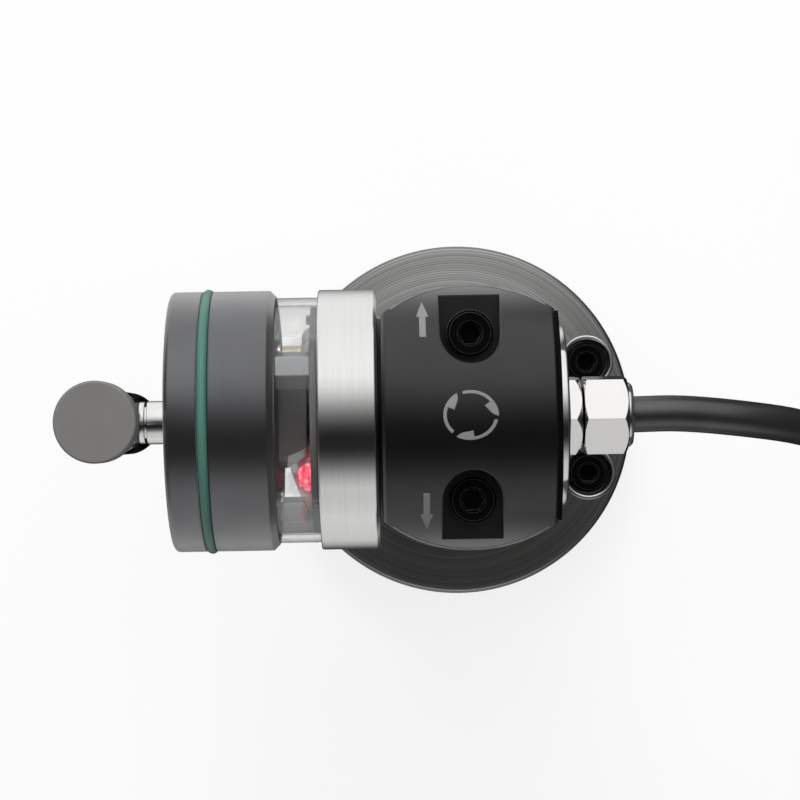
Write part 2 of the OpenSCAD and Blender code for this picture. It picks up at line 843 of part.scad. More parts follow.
// Point on the spring's wire axis, as a share of its length
function spring_point(share, from, to) = [
    from + share * (to - from), spring_r * cos(360 * spring_turns * share),
    axis_h + spring_r * sin(360 * spring_turns * share)
];

// Coil spring between plunger and plate, as one swept tube
module plunger_spring() {
    sides = 8;
    rings = 14 * spring_turns;
    from = plunger_rear + spring_wire_d / 2 + seat_clear;
    to = x_plate_front - spring_wire_d / 2 - seat_clear;
    color("silver")
        sweep([for (i = [0 : rings]) spring_point(i / rings, from, to)], spring_wire_d / 2, sides);
}

// Ball between plunger and stylus hub
module pivot_ball()
    color("lightgray")
        translate([x_pivot, 0, axis_h])
            sphere(r = ball_r);

// Hub of the stylus, with a ball socket behind and a thread in front
module stylus_hub()
    color("lightgray")
        difference() {
            turned([
                [nose_front, 0], [nose_front, hub_nose_d / 2], [hub_front, hub_nose_d / 2],
                [hub_front, hub_d / 2], [hub_rear, hub_d / 2], [hub_rear, 0]
            ]);
            translate([x_pivot, 0, axis_h])
                sphere(r = socket_r);
            rod_x(stem_thread_d / 2 + thread_clear, nose_front - cut,
                nose_front + stem_thread + 2 * seat_clear);
        }

// Domed shield on the hub's nose, which keeps the front opening closed at every tilt
module stem_shield()
    color("lightgray")
        difference() {
            translate([x_pivot, 0, axis_h])
                sphere(r = shield_r);
            translate([x_pivot, 0, axis_h])
                sphere(r = shield_r - shield_t);
            translate([x_pivot - shield_r * cos(shield_deg), -shield_r - cut, axis_h - shield_r - cut])
                cube([3 * shield_r, 2 * shield_r + 2 * cut, 2 * shield_r + 2 * cut]);
            rod_x(hub_nose_d / 2 + seat_clear, x_pivot - shield_r - cut, x_pivot);
        }

// Polished stem with breaking groove and collar, threaded at both ends
module stem()
    color("lightgray")
        turned([
            [x_flat - holder_thread, 0], [x_flat - holder_thread, stem_thread_d / 2],
            [x_flat, stem_thread_d / 2], [x_flat, collar_d / 2], [x_collar, collar_d / 2],
            [x_collar, stem_groove_d / 2],
            [x_groove, stem_groove_d / 2], [x_groove, stem_d / 2], [nose_front, stem_d / 2],
            [nose_front, stem_thread_d / 2], [nose_front + stem_thread, stem_thread_d / 2],
            [nose_front + stem_thread, 0]
        ]);

// Black holder: a short upright cylinder with a stepped flat towards the head
module stylus_holder()
    color([0.06, 0.06, 0.06])
        difference() {
            translate([x_stylus, 0, axis_h])
                rotate_extrude()
                    polygon([
                        [0, -holder_bottom], [holder_r - holder_chamfer, -holder_bottom],
                        [holder_r, holder_chamfer - holder_bottom], [holder_r, holder_top], [0, holder_top]
                    ]);
            translate([x_flat, -holder_d, axis_h - holder_step])
                cube([holder_d, 2 * holder_d, holder_step + holder_top + cut]);
            rod_x(stem_thread_d / 2 + thread_clear, x_flat - holder_thread - seat_clear, x_flat + cut);
            translate([x_stylus, 0, axis_h + holder_top - post_thread - seat_clear])
                cylinder(r = stem_thread_d / 2 + thread_clear, h = post_thread + cut);
            translate([x_stylus, 0, axis_h - holder_bottom - cut])
                cylinder(r = grub_d / 2 + thread_clear, h = grub_sink + grub_len + cut + seat_clear);
        }

// Grub screw in the underside of the holder
module holder_screw()
    color([0.1, 0.1, 0.1])
        translate([x_stylus, 0, axis_h - holder_bottom + grub_sink])
            difference() {
                cylinder(r = grub_d / 2, h = grub_len);
                translate([0, 0, -cut])
                    cylinder(r = grub_key / 2 / cos(30), h = grub_len / 3 + cut, $fn = 6);
            }

// Stylus post: shoulder with two spanner flats, slim post and a cone under the disc
module stylus_post()
    color("lightgray")
        translate([x_stylus, 0, axis_h])
            union() {
                intersection() {
                    translate([0, 0, holder_top])
                        cylinder(r = post_shoulder_d / 2, h = post_shoulder_h);
                    translate([-holder_flat, -post_shoulder_d, holder_top])
                        cube([2 * holder_flat, 2 * post_shoulder_d, post_shoulder_h]);
                }
                rotate_extrude()
                    polygon([
                        [0, holder_top - post_thread], [stem_thread_d / 2, holder_top - post_thread],
                        [stem_thread_d / 2, holder_top + post_shoulder_h / 2],
                        [post_d / 2, holder_top + post_shoulder_h / 2], [post_d / 2, disc_floor - post_cone],
                        [post_d / 2 + post_cone, disc_floor], [0, disc_floor]
                    ]);
            }

// Round touch disc on top of the post
module touch_disc()
    color([0.48, 0.47, 0.46])
        translate([x_stylus, 0, axis_h + disc_floor])
            rotate_extrude()
                polygon([
                    [0, 0], [disc_d / 2 - disc_chamfer, 0], [disc_d / 2, disc_chamfer],
                    [disc_d / 2, disc_t - disc_chamfer], [disc_d / 2 - disc_chamfer, disc_t], [0, disc_t]
                ]);

// Station of the rear cap's crowned face at a radius
function crown_x(r) = x_cap_rear - cap_crown * pow((r - cap_flat_r) / (cap_r - cap_flat_r), 2);

// Polished, crowned rear cap with a boss in the housing
module rear_cap()
    color("silver")
        turned(concat(
            [
                [housing_rear - cap_boss_h, gland_tail_d / 2 + seat_clear],
                [housing_rear - cap_boss_h, cap_boss_d / 2], [housing_rear, cap_boss_d / 2],
                [housing_rear, cap_r - cap_round], [housing_rear + cap_round, cap_r],
                [crown_x(cap_r - cap_round) - cap_round, cap_r]
            ],
            [
                for (i = [0 : cap_steps])
                    let (r = cap_r - cap_round + (cap_flat_r + cap_round - cap_r) * i / cap_steps)
                    [crown_x(r), r]
            ],
            [[x_cap_rear, gland_tail_d / 2 + seat_clear]]
        ));

// Sealing washer under the gland
module gland_washer()
    color([0.05, 0.05, 0.05])
        tube_x(gland_tail_d / 2 + seat_clear, washer_d / 2, x_cap_rear, x_washer_rear);

// Gland body: hexagon, front thread into the cap, rear thread for the nut
module gland_body()
    color("lightgray")
        difference() {
            union() {
                intersection() {
                    hex_x(gland_af, x_washer_rear, x_hex_rear);
                    turned([
                        [x_washer_rear, 0], [x_washer_rear, hex_point_r],
                        [x_hex_rear - gland_hex_t / 2, hex_point_r],
                        [x_hex_rear, gland_af / 2], [x_hex_rear, 0]
                    ]);
                }
                rod_x(gland_tail_d / 2, x_washer_rear - gland_tail, x_washer_rear + cut / 2);
                rod_x(gland_thread_d / 2, x_hex_rear - cut / 2, x_nut + gland_seal_len);
            }
            rod_x(cable_hole_r, x_washer_rear - gland_tail - cut, x_nut + nut_len);
            rod_x(cable_r + gland_seal_wall + seat_clear, x_nut, x_nut + nut_len);
        }

// Gland nut with a round end
module gland_nut()
    color("lightgray")
        difference() {
            union() {
                intersection() {
                    hex_x(gland_af, x_nut, x_nut_hex);
                    turned([
                        [x_nut, 0], [x_nut, gland_af / 2], [x_nut + nut_bevel, hex_point_r],
                        [x_nut_hex - 2 * nut_bevel, hex_point_r],
                        [x_nut_hex, gland_af / 2 - nut_bevel / 2], [x_nut_hex, 0]
                    ]);
                }
                turned([
                    [x_nut_hex - cut, 0], [x_nut_hex - cut, gland_af / 2 - 2 * nut_bevel],
                    [x_gland_end - nut_bevel, gland_af / 2 - 2 * nut_bevel],
                    [x_gland_end, gland_af / 2 - 3 * nut_bevel], [x_gland_end, 0]
                ]);
            }
            rod_x(gland_thread_d / 2 + thread_clear, x_nut - cut, x_nut + gland_seal_len + 2 * seat_clear);
            rod_x(cable_hole_r, x_nut, x_gland_end + cut);
        }

// Rubber sleeve that grips the cable inside the gland
module gland_seal()
    color([0.05, 0.05, 0.05])
        tube_x(cable_r, cable_r + gland_seal_wall, x_nut + seat_clear, x_nut + gland_seal_len);

// Direction of a route at one of its points
function route_dir(points, i) =
    let (a = points[max(i - 1, 0)], b = points[min(i + 1, len(points) - 1)])
    (b - a) / norm(b - a);

// Ring of points around a route at one of its points
function route_ring(points, i, r, sides) =
    let (
        d = route_dir(points, i), ref = abs(d[1]) > 0.9 ? [0, 0, 1] : [0, 1, 0],
        side = cross(d, ref) / norm(cross(d, ref)), up = cross(side, d)
    )
    [for (k = [0 : sides - 1]) points[i] + r * (cos(360 * k / sides) * side + sin(360 * k / sides) * up)];

// Closed tube swept along a route
module sweep(points, r, sides) {
    rings = len(points);
    vertices = [for (i = [0 : rings - 1]) each route_ring(points, i, r, sides)];
    walls = [
        for (i = [0 : rings - 2], k = [0 : sides - 1])
            [
                i * sides + k, i * sides + (k + 1) % sides, (i + 1) * sides + (k + 1) % sides,
                (i + 1) * sides + k
            ]
    ];
    first = [for (k = [0 : sides - 1]) sides - 1 - k];
    last = [for (k = [0 : sides - 1]) (rings - 1) * sides + k];
    polyhedron(vertices, concat(walls, [first, last]));
}

// Cable from the gland down to the table and up to the coil
module cable_run()
    color([0.07, 0.07, 0.07])
        sweep(cable_route, cable_r, cable_sides);

// Outer form of the coiled cable, with the last turns on top of its inner side
module cable_coil()
    color([0.07, 0.07, 0.07])
        translate([coil_x, coil_y, 0]) {
            rotate_extrude()
                polygon([
                    [coil_in_r, cable_lift], [coil_out_r, cable_lift], [coil_out_r, coil_top],
                    [coil_in_r + cable_d, coil_top], [coil_in_r + cable_d, coil_top + cable_d],
                    [coil_in_r, coil_top + cable_d]
                ]);
            rotate([0, 0, coil_entry_deg])
                rotate_extrude(angle = coil_end_deg - coil_entry_deg)
                    translate([coil_in_r + cable_r, coil_top - cut])
                        square([1.5 * cable_d, cable_d + cut - seat_clear]);
        }

// Flat tie drawn tight around the coil
module cable_tie()
    color([0.1, 0.1, 0.1])
        translate([coil_x, coil_y, 0])
            rotate([0, 0, tie_deg])
                translate([0, tie_w / 2, 0])
                    rotate([90, 0, 0])
                        linear_extrude(tie_w)
                            difference() {
                                polygon([
                                    [coil_in_r - 2 * tie_t, cable_lift - tie_t],
                                    [coil_out_r + 2 * tie_t, cable_lift - tie_t],
                                    [coil_out_r + 2 * tie_t, coil_top + tie_t],
                                    [coil_in_r + cable_d + tie_t, coil_top + cable_d + tie_t],
                                    [coil_in_r - 2 * tie_t, coil_top + cable_d + tie_t]
                                ]);
                                polygon([
                                    [coil_in_r - tie_t, cable_lift], [coil_out_r + tie_t, cable_lift],
                                    [coil_out_r + tie_t, coil_top], [coil_in_r + cable_d, coil_top + cable_d],
                                    [coil_in_r - tie_t, coil_top + cable_d]
                                ]);
                            }

// Place at the coil's end, with X along the cable
module at_cable_end()
    translate([coil_x, coil_y, 0])
        rotate([0, 0, coil_end_deg])
            translate([coil_end_r, 0, coil_top + cable_r + sleeve_t])
                rotate([0, 0, 90])
                    children();

// Shrunk sleeve on the cable's end
module lead_sleeve()
    color([0.05, 0.05, 0.05])
        at_cable_end()
            rotate([0, 90, 0])
                cylinder(r = cable_r + sleeve_t, h = sleeve_len);

// Four stripped leads
module lead_ends()
    color("tan")
        at_cable_end()
            for (sy = [-1, 1], sz = [-1, 1])
                translate([sleeve_len, sy * lead_pitch / 2, sz * lead_pitch / 2])
                    rotate([0, 90, 0])
                        cylinder(r = lead_d / 2, h = lead_len);

base_flange();
base_screws();
column_screws();
pedestal();
clamp_screws();
housing();
neck_seal();
clamp_ring();
spigot();
window_tube();
window_gaskets();
lamp_board();
lamp_lenses();
lamp_lit();
board_chip();
contact_block();
contact_strip();
pillars();
front_plate();
plate_screws();
guide_bush();
head_shell();
head_oring();
front_lip();
diaphragm();
plunger();
plunger_clip();
plunger_spring();
pivot_ball();
stylus_hub();
stem_shield();
stem();
stylus_holder();
holder_screw();
stylus_post();
touch_disc();
rear_cap();
gland_washer();
gland_body();
gland_nut();
gland_seal();
cable_run();
cable_coil();
cable_tie();
lead_sleeve();
lead_ends();
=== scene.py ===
# %% [markdown]
# # A cabled tool setter
# A tool setter stands on a machine table. A tool touches the small round disc, the stylus tips, and the
# cable tells the control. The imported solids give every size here, so this lesson adds the camera, the
# cable, the finishes, the fine detail on small pieces and the light.

# %% Load the frame
import math

import bmesh
import bpy
from mathutils import Matrix, Vector


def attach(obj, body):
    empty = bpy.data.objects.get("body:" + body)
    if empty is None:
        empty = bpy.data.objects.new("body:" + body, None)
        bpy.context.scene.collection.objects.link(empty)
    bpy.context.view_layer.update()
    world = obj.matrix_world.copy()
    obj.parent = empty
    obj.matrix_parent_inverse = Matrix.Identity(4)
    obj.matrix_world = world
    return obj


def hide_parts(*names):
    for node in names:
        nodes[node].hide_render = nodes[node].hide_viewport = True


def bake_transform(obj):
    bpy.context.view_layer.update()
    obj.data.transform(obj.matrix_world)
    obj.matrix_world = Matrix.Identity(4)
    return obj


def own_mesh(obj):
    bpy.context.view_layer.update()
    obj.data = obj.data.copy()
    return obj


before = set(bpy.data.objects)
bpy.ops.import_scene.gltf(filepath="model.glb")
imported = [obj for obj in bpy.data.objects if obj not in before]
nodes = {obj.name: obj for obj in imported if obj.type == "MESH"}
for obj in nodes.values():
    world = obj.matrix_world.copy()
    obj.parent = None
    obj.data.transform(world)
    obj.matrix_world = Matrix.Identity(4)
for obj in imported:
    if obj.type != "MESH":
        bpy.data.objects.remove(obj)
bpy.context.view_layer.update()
mm = 0.001
scene = bpy.context.scene

# %% [markdown]
# ## Camera
# The picture looks almost straight down from about 36 cm above the probe's axis. A long lens keeps the
# round base nearly round. The place and the three small turns were fitted to the edges of the round
# pieces.

# %% Camera
SENSOR_MM, FOCAL_MM = 36.0, 104.6157
CAMERA_AT = (-0.0125998, -0.0022966, 0.4288035)
CAMERA_TURNS = (("Z", 0.0173746), ("Y", 0.0058114), ("X", -0.0143336))
camera_data = bpy.data.cameras.new("camera")
camera_data.sensor_width = SENSOR_MM
camera_data.lens = FOCAL_MM
camera_data.clip_start = 0.01
camera_data.clip_end = 20.0
camera = bpy.data.objects.new("camera", camera_data)
scene.collection.objects.link(camera)
turn = Matrix.Identity(3)
for axis, radians in CAMERA_TURNS:
    turn = turn @ Matrix.Rotation(radians, 3, axis)
camera.matrix_world = Matrix.Translation(CAMERA_AT) @ turn.transposed().to_4x4()
scene.camera = camera
print("camera at", [round(v, 4) for v in camera.location])

# %% [markdown]
# ## Cable
# The cable leaves the gland level, falls under its own weight and lies down in a tied coil. A curve with
# a round bevel is the simplest tube that keeps its thickness on any route. The route's points come from
# the solids. A Catmull-Rom blend makes them one smooth line, and each turn of the coil shifts to the next
# place over a sixth of a turn.

# %% The cable's line
AXIS_H = 70.0
CABLE_D = 5.6
ROUTE = [(18.5, 0, AXIS_H), (25, 0, AXIS_H), (33, 0, AXIS_H), (43, -1, 68.5), (52.5, -2.5, 64),
         (60, -5, 57), (65, -8, 48), (68, -11, 39.5), (71, -14, 31), (74.5, -17.5, 22), (79, -21, 14.5),
         (85.5, -24.5, 8.5), (93, -27, 4.8), (101, -28, 3.4), (108.5, -28, 3.4), (116, -28, 3.4)]
COIL_AT, COIL_MEAN_R, COIL_LIFT = (116.0, 14.0), 33.6, 0.6
COIL_ENTRY, COIL_END, COIL_SHIFT = -90, 160, 60
SLEEVE_WALL, SLEEVE_GAP = 0.3, 0.05


def smooth_line(points, steps):
    """Points on a Catmull-Rom curve through the given points."""
    pts = [Vector(p) for p in points]
    pts = [2 * pts[0] - pts[1]] + pts + [2 * pts[-1] - pts[-2]]
    line = []
    for a, b, c, d in zip(pts, pts[1:], pts[2:], pts[3:]):
        for i in range(steps):
            t = i / steps
            line.append(0.5 * (2 * b + (c - a) * t + (2 * a - 5 * b + 4 * c - d) * t * t
                               + (3 * b - a - 3 * c + d) * t ** 3))
    return line + [pts[-2]]


def ease(t):
    """A share that starts and ends gently."""
    t = min(max(t, 0.0), 1.0)
    return t * t * (3 - 2 * t)


def coil_line():
    """The coil's turns: three layers of four, then a turn and a part on top."""
    radii = [COIL_MEAN_R + (c - 1.5) * CABLE_D for c in range(4)]
    places = [(r, 0) for r in reversed(radii)] + [(r, 1) for r in radii] + [(r, 2) for r in reversed(radii)]
    places += [(radii[0], 3), (radii[1], 3)]
    line = []
    for k, (r, layer) in enumerate(places):
        last = k == len(places) - 1
        sweep = COIL_END - COIL_ENTRY if last else 360
        to_r, to_layer = r + SLEEVE_WALL + SLEEVE_GAP, layer + SLEEVE_WALL / CABLE_D
        if not last:
            to_r, to_layer = places[k + 1]
        for a in range(0, sweep + 1, 5) if last else range(0, sweep, 6):
            share = ease((a - (sweep - COIL_SHIFT)) / COIL_SHIFT)
            here = r + (to_r - r) * share
            z = COIL_LIFT + CABLE_D * (0.5 + layer + (to_layer - layer) * share)
            angle = math.radians(COIL_ENTRY + a)
            x, y = COIL_AT[0] + here * math.cos(angle), COIL_AT[1] + here * math.sin(angle)
            line.append(Vector((x, y, z)))
    return line


run = smooth_line(ROUTE, 5)
turns = coil_line()
TAIL = 8
tail = turns[-1] + (turns[-1] - turns[-2]).normalized() * TAIL
line = [p * mm for p in run[:-1] + turns + [tail]]


# %% The cable as a tube
def cable_tube():
    """The whole cable as one bevelled curve."""
    curve = bpy.data.curves.new("cable", "CURVE")
    curve.dimensions = "3D"
    curve.bevel_depth = 1.0
    curve.bevel_resolution = 6
    curve.use_fill_caps = True
    spline = curve.splines.new("POLY")
    spline.points.add(len(line) - 1)
    for point, co in zip(spline.points, line):
        point.co = (*co, 1)
        point.radius = CABLE_D / 2 * mm
    spline.use_smooth = True
    obj = bpy.data.objects.new("cable", curve)
    scene.collection.objects.link(obj)
    return obj


cable = cable_tube()
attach(cable, "housing")
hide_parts("cable_run", "cable_coil")
print("cable tube:", CABLE_D, "mm thick")

# %% [markdown]
# ## Finishes
# Machined metal is never one flat colour. Each finish gets its own base colour, plus a fine pattern that
# changes the roughness and tilts the surface a little. The patterns read Object coordinates, so they stay
# on the piece when it moves. Constants go straight on the shader's sockets. A Bevel node rounds the
# normals along edges, and where its normal leaves the face's own normal, the colour can turn paler: a
# painted highlight along the edges.


# %% A small kit for nodes
def wire(tree, kind, ins=None, **options):
    """One node's first output: options are set, and ins gives values or links by socket name or number."""
    node = tree.nodes.new(kind)
    for key, value in options.items():
        setattr(node, key, value)
    for key, value in (ins or {}).items():
        for one in value if isinstance(value, list) else [value]:
            if isinstance(one, bpy.types.NodeSocket):
                tree.links.new(one, node.inputs[key])
            else:
                node.inputs[key].default_value = one
    return node.outputs[0]


def calc(tree, operation, a, b):
    """A number from two."""
    return wire(tree, "ShaderNodeMath", {0: a, 1: b}, operation=operation)


def vector(tree, operation, **ins):
    """A vector from one or two, and a scale where the operation has one."""
    names = {"a": 0, "b": 1, "scale": "Scale"}
    return wire(tree, "ShaderNodeVectorMath", {names[key]: value for key, value in ins.items()},
                operation=operation)


# %% A small kit for materials
def new_finish(name, color, metallic, roughness):
    """A material with a Principled shader, its nodes and its shader."""
    material = bpy.data.materials.new(name)
    material.use_nodes = True
    tree = material.node_tree
    shader = tree.nodes["Principled BSDF"]
    shader.inputs["Base Color"].default_value = (*color, 1)
    shader.inputs["Metallic"].default_value = metallic
    shader.inputs["Roughness"].default_value = roughness
    material.diffuse_color = (*color, 1)
    return material, tree, shader


def add(tree, kind, **values):
    """One node, with its sockets or its options set by name."""
    node = tree.nodes.new(kind)
    for key, value in values.items():
        if key in node.inputs:
            node.inputs[key].default_value = value
        else:
            setattr(node, key, value)
    return node


def ramp(tree, source, stops):
    """A colour ramp fed by a socket."""
    node = tree.nodes.new("ShaderNodeValToRGB")
    tree.links.new(source, node.inputs["Fac"])
    elements = node.color_ramp.elements
    elements[0].position, elements[1].position = stops[0][0], stops[-1][0]
    for place, _ in stops[1:-1]:
        elements.new(place)
    for element, (_, value) in zip(elements, stops):
        element.color = (*value, 1) if hasattr(value, "__len__") else (value, value, value, 1)
    return node.outputs["Color"]


def object_noise(tree, scale, detail=2.0, squeeze=(1, 1, 1), rough=0.5):
    """Noise on Object coordinates, drawn out along an axis by a small squeeze value."""
    coords = tree.nodes.new("ShaderNodeTexCoord")
    mapping = add(tree, "ShaderNodeMapping", Scale=squeeze)
    noise = add(tree, "ShaderNodeTexNoise", Scale=scale, Detail=detail, Roughness=rough)
    tree.links.new(coords.outputs["Object"], mapping.inputs["Vector"])
    tree.links.new(mapping.outputs["Vector"], noise.inputs["Vector"])
    return noise.outputs["Fac"]


# %% Edges, paint and bump
def rounded_edges(tree, radius):
    """Normals that run round the edges, and a share that is 1 along them, for a highlight painted there."""
    bevel = add(tree, "ShaderNodeBevel", Radius=radius, samples=6)
    geometry = tree.nodes.new("ShaderNodeNewGeometry")
    match = add(tree, "ShaderNodeVectorMath", operation="DOT_PRODUCT")
    tree.links.new(bevel.outputs["Normal"], match.inputs[0])
    tree.links.new(geometry.outputs["Normal"], match.inputs[1])
    return bevel.outputs["Normal"], ramp(tree, match.outputs["Value"], [(0.84, 1.0), (0.99, 0.0)])


MIX_SHARE, MIX_FROM, MIX_TO, MIX_RESULT = 0, 6, 7, 2


def turned_to(tree, color, other, share):
    """A colour that turns into another, fixed one by a share: a Mix node's colour sockets, by number."""
    mix = add(tree, "ShaderNodeMix", data_type="RGBA")
    mix.inputs[MIX_TO].default_value = (*other, 1)
    tree.links.new(share, mix.inputs[MIX_SHARE])
    tree.links.new(color, mix.inputs[MIX_FROM])
    return mix.outputs[MIX_RESULT]


def paint(tree, shader, color, edge_highlight_color, highlight_mask):
    """The base colour, with a paler one painted along the edges as a highlight where it is given."""
    if edge_highlight_color is not None:
        color = turned_to(tree, color, edge_highlight_color, highlight_mask)
    tree.links.new(color, shader.inputs["Base Color"])


def bump(tree, shader, height, strength, distance, normal):
    """Tilts the surface by a height, on top of the rounded normals."""
    node = add(tree, "ShaderNodeBump", Strength=strength, Distance=distance)
    tree.links.new(height, node.inputs["Height"])
    tree.links.new(normal, node.inputs["Normal"])
    tree.links.new(node.outputs["Normal"], shader.inputs["Normal"])


# %% Two families of finish
GRAIN_DEPTH, BRUSH_DEPTH, SHEEN_ROUGHNESS = 0.00002, 0.00003, 0.42


def grained(name, color, metallic, roughness, grain=9000, spread=0.08, strength=0.05, tint=0.1, coarse=120,
            edge=0.0002, edge_highlight_color=None, coat=0.0, specular=0.5, coat_roughness=0.2, sheen=0.0):
    """A blasted, anodised or moulded finish: fine grain, and a slow change of colour."""
    material, tree, shader = new_finish(name, color, metallic, roughness)
    shader.inputs["Specular IOR Level"].default_value = specular
    shader.inputs["Coat Weight"].default_value = coat
    shader.inputs["Coat Roughness"].default_value = coat_roughness
    shader.inputs["Sheen Weight"].default_value = sheen
    shader.inputs["Sheen Roughness"].default_value = SHEEN_ROUGHNESS
    fine = object_noise(tree, grain, 3.0)
    slow = object_noise(tree, coarse, 2.0)
    # the edge share paints a paler colour along edges where one is given: a painted highlight
    normal, edge_highlight_share = rounded_edges(tree, edge)
    low, high = [c * (1 - tint) for c in color], [c * (1 + tint) for c in color]
    paint(tree, shader, ramp(tree, slow, [(0.3, low), (0.7, high)]), edge_highlight_color, edge_highlight_share)
    tree.links.new(ramp(tree, fine, [(0.25, roughness - spread), (0.75, roughness + spread)]),
                   shader.inputs["Roughness"])
    bump(tree, shader, fine, strength, GRAIN_DEPTH, normal)
    return material


def brushed(name, color, roughness, squeeze, scale=900, spread=0.06, strength=0.06, tint=0.06, metallic=1.0,
            edge=0.0002):
    """A brushed or polished finish: noise drawn out along the tool's path."""
    material, tree, shader = new_finish(name, color, metallic, roughness)
    lines = object_noise(tree, scale, 4.0, squeeze, 0.65)
    normal, _ = rounded_edges(tree, edge)
    low, high = [c * (1 - tint) for c in color], [min(c * (1 + tint), 1) for c in color]
    tree.links.new(ramp(tree, lines, [(0.3, low), (0.7, high)]), shader.inputs["Base Color"])
    tree.links.new(ramp(tree, lines, [(0.3, roughness + spread), (0.7, max(roughness - spread, 0.02))]),
                   shader.inputs["Roughness"])
    bump(tree, shader, lines, strength, BRUSH_DEPTH, normal)
    return material


# %% [markdown]
# The base is faced on a lathe. The cutter leaves fine rings round the middle, and their flanks lean
# outward, so the far side shines and the near side is dark. The distance from the upright axis is cut
# into narrow steps. Each step is painted from dark to light as the shade and highlight of its groove, and
# has a random shade of its own.


# %% Turned rings of the base
PAINTED_FLANK_SHADING = ((0.0, 0.55), (0.3, 0.9), (0.7, 1.05), (1.0, 1.35))
RING_SHADES = [(0.0, 0.82), (0.8, 1.0), (1.0, 1.2)]
# a pale colour along the base's edges: a painted highlight on its rim and chamfers
EDGE_HIGHLIGHT = (0.8, 0.79, 0.78)


def turned_rings(name, color, metallic, roughness, pitch=0.00044, lean=0.19, edge=0.0005):
    """Rings about the Z axis, each painted with a dark foot and a light crest as shade and highlight, and a
    shade of its own.
    """
    material, tree, shader = new_finish(name, color, metallic, roughness)
    coords = tree.nodes.new("ShaderNodeTexCoord")
    flat = vector(tree, "MULTIPLY", a=coords.outputs["Object"], b=(1, 1, 0))
    length = add(tree, "ShaderNodeVectorMath", operation="LENGTH")
    tree.links.new(flat, length.inputs[0])
    radius = length.outputs["Value"]
    chance = wire(tree, "ShaderNodeTexWhiteNoise", {"W": calc(tree, "SNAP", radius, pitch)},
                  noise_dimensions="1D")
    across = wire(tree, "ShaderNodeMath", {0: radius, 1: pitch, 2: 0.0}, operation="WRAP")
    outward = vector(tree, "NORMALIZE", a=flat)
    normal, edge_highlight_share = rounded_edges(tree, edge)
    leaned = vector(tree, "ADD", a=normal, b=vector(tree, "SCALE", a=outward, scale=lean))
    tree.links.new(vector(tree, "NORMALIZE", a=leaned), shader.inputs["Normal"])
    # painted shade and highlight: each ring's colour runs from dark at its foot to light at its crest
    flank_shading_stops = [(place, [c * k for c in color]) for place, k in PAINTED_FLANK_SHADING]
    painted_flank = ramp(tree, calc(tree, "DIVIDE", across, pitch), flank_shading_stops)
    rings = vector(tree, "MULTIPLY", a=painted_flank, b=ramp(tree, chance, RING_SHADES))
    paint(tree, shader, rings, EDGE_HIGHLIGHT, edge_highlight_share)
    return material


# %% The finishes
# the last colour given to carbide, black oxide and the moulded block is painted along their edges as a
# highlight
black_anodised = grained("black anodised", (0.03, 0.0304, 0.032), 0.95, 0.34, 9000, 0.05, 0.02, edge=0.0005,
                         coat=0.9, coat_roughness=0.3, sheen=0.1)
grey_satin = grained("grey satin steel", (0.135, 0.138, 0.144), 0.97, 0.32, 7000, 0.04, 0.012, edge=0.0004,
                     coat=1.0, coat_roughness=0.28, sheen=0.5)
base_turned = turned_rings("turned base", (0.41, 0.405, 0.398), 0.95, 0.33)
ring_steel = brushed("brushed ring steel", (0.85, 0.845, 0.835), 0.13, (1, 0.02, 0.02), 3200, 0.03, 0.02,
                     0.025, edge=0.0003)
polished_x = brushed("polished steel", (0.88, 0.875, 0.865), 0.1, (1, 0.05, 0.05), 2200, 0.04, 0.03, 0.03)
polished_z = brushed("polished post", (0.84, 0.835, 0.82), 0.14, (0.05, 0.05, 1), 2200, 0.04, 0.03, 0.03)
nickel = grained("nickel plate", (0.92, 0.91, 0.895), 1.0, 0.08, 4000, 0.02, 0.004, 0.02, edge=0.0001)
carbide = grained("ground carbide", (0.165, 0.16, 0.154), 0.0, 0.7, 12000, 0.06, 0.05, 0.03, 300, 0.0002,
                  (0.3, 0.3, 0.29))
black_oxide = grained("black oxide", (0.0022, 0.0023, 0.0025), 0.0, 0.36, 8000, 0.08, 0.06, 0.2, 120,
                      0.00012, (0.16, 0.16, 0.16), specular=0.015)
black_gloss = grained("black holder", (0.003, 0.003, 0.0032), 0.0, 0.3, 6000, 0.04, 0.02, 0.2,
                      specular=0.02)
black_rubber = grained("black rubber", (0.006, 0.006, 0.006), 0.0, 0.5, 5000, 0.08, 0.1, 0.2)
green_rubber = grained("green rubber", (0.062, 0.175, 0.136), 0.0, 0.36, 5000, 0.05, 0.05, 0.06)
sheath = grained("cable sheath", (0.14, 0.139, 0.137), 0.92, 0.34, 5000, 0.05, 0.05, 0.12)
board = grained("solder mask", (0.1, 0.099, 0.097), 0.0, 0.5, 3000, 0.06, 0.05, 0.15, 900)
moulded = grained("moulded block", (0.16, 0.157, 0.154), 0.0, 0.5, 6000, 0.08, 0.05, 0.1, 300, 0.0002,
                  (0.26, 0.26, 0.26))
pillar_steel = grained("hexagon pillars", (0.2, 0.205, 0.212), 0.9, 0.3, 6000, 0.03, 0.02, 0.05)
plate_metal = grained("machined plate", (0.13, 0.13, 0.133), 0.8, 0.4)
gold = grained("gold plate", (0.82, 0.7, 0.48), 0.55, 0.28, 6000, 0.05, 0.03, 0.05)
lens_grey = grained("unlit lens", (0.33, 0.326, 0.32), 0.0, 0.22, 4000, 0.04, 0.02, 0.05)
tie_plastic = grained("tie plastic", (0.012, 0.012, 0.0125), 0.0, 0.45, 5000, 0.06, 0.06, 0.15)
lead_sheaths = [grained("lead sheath " + word, color, 0.0, 0.42, 5000, 0.05, 0.05, 0.1)
                for word, color in (("brown", (0.13, 0.055, 0.025)), ("blue", (0.02, 0.07, 0.24)),
                                    ("black", (0.012, 0.012, 0.012)), ("white", (0.6, 0.59, 0.56)))]
copper = brushed("tinned copper", (0.72, 0.45, 0.3), 0.3, (1, 1, 1), 3000)
print("finishes:", len(bpy.data.materials))
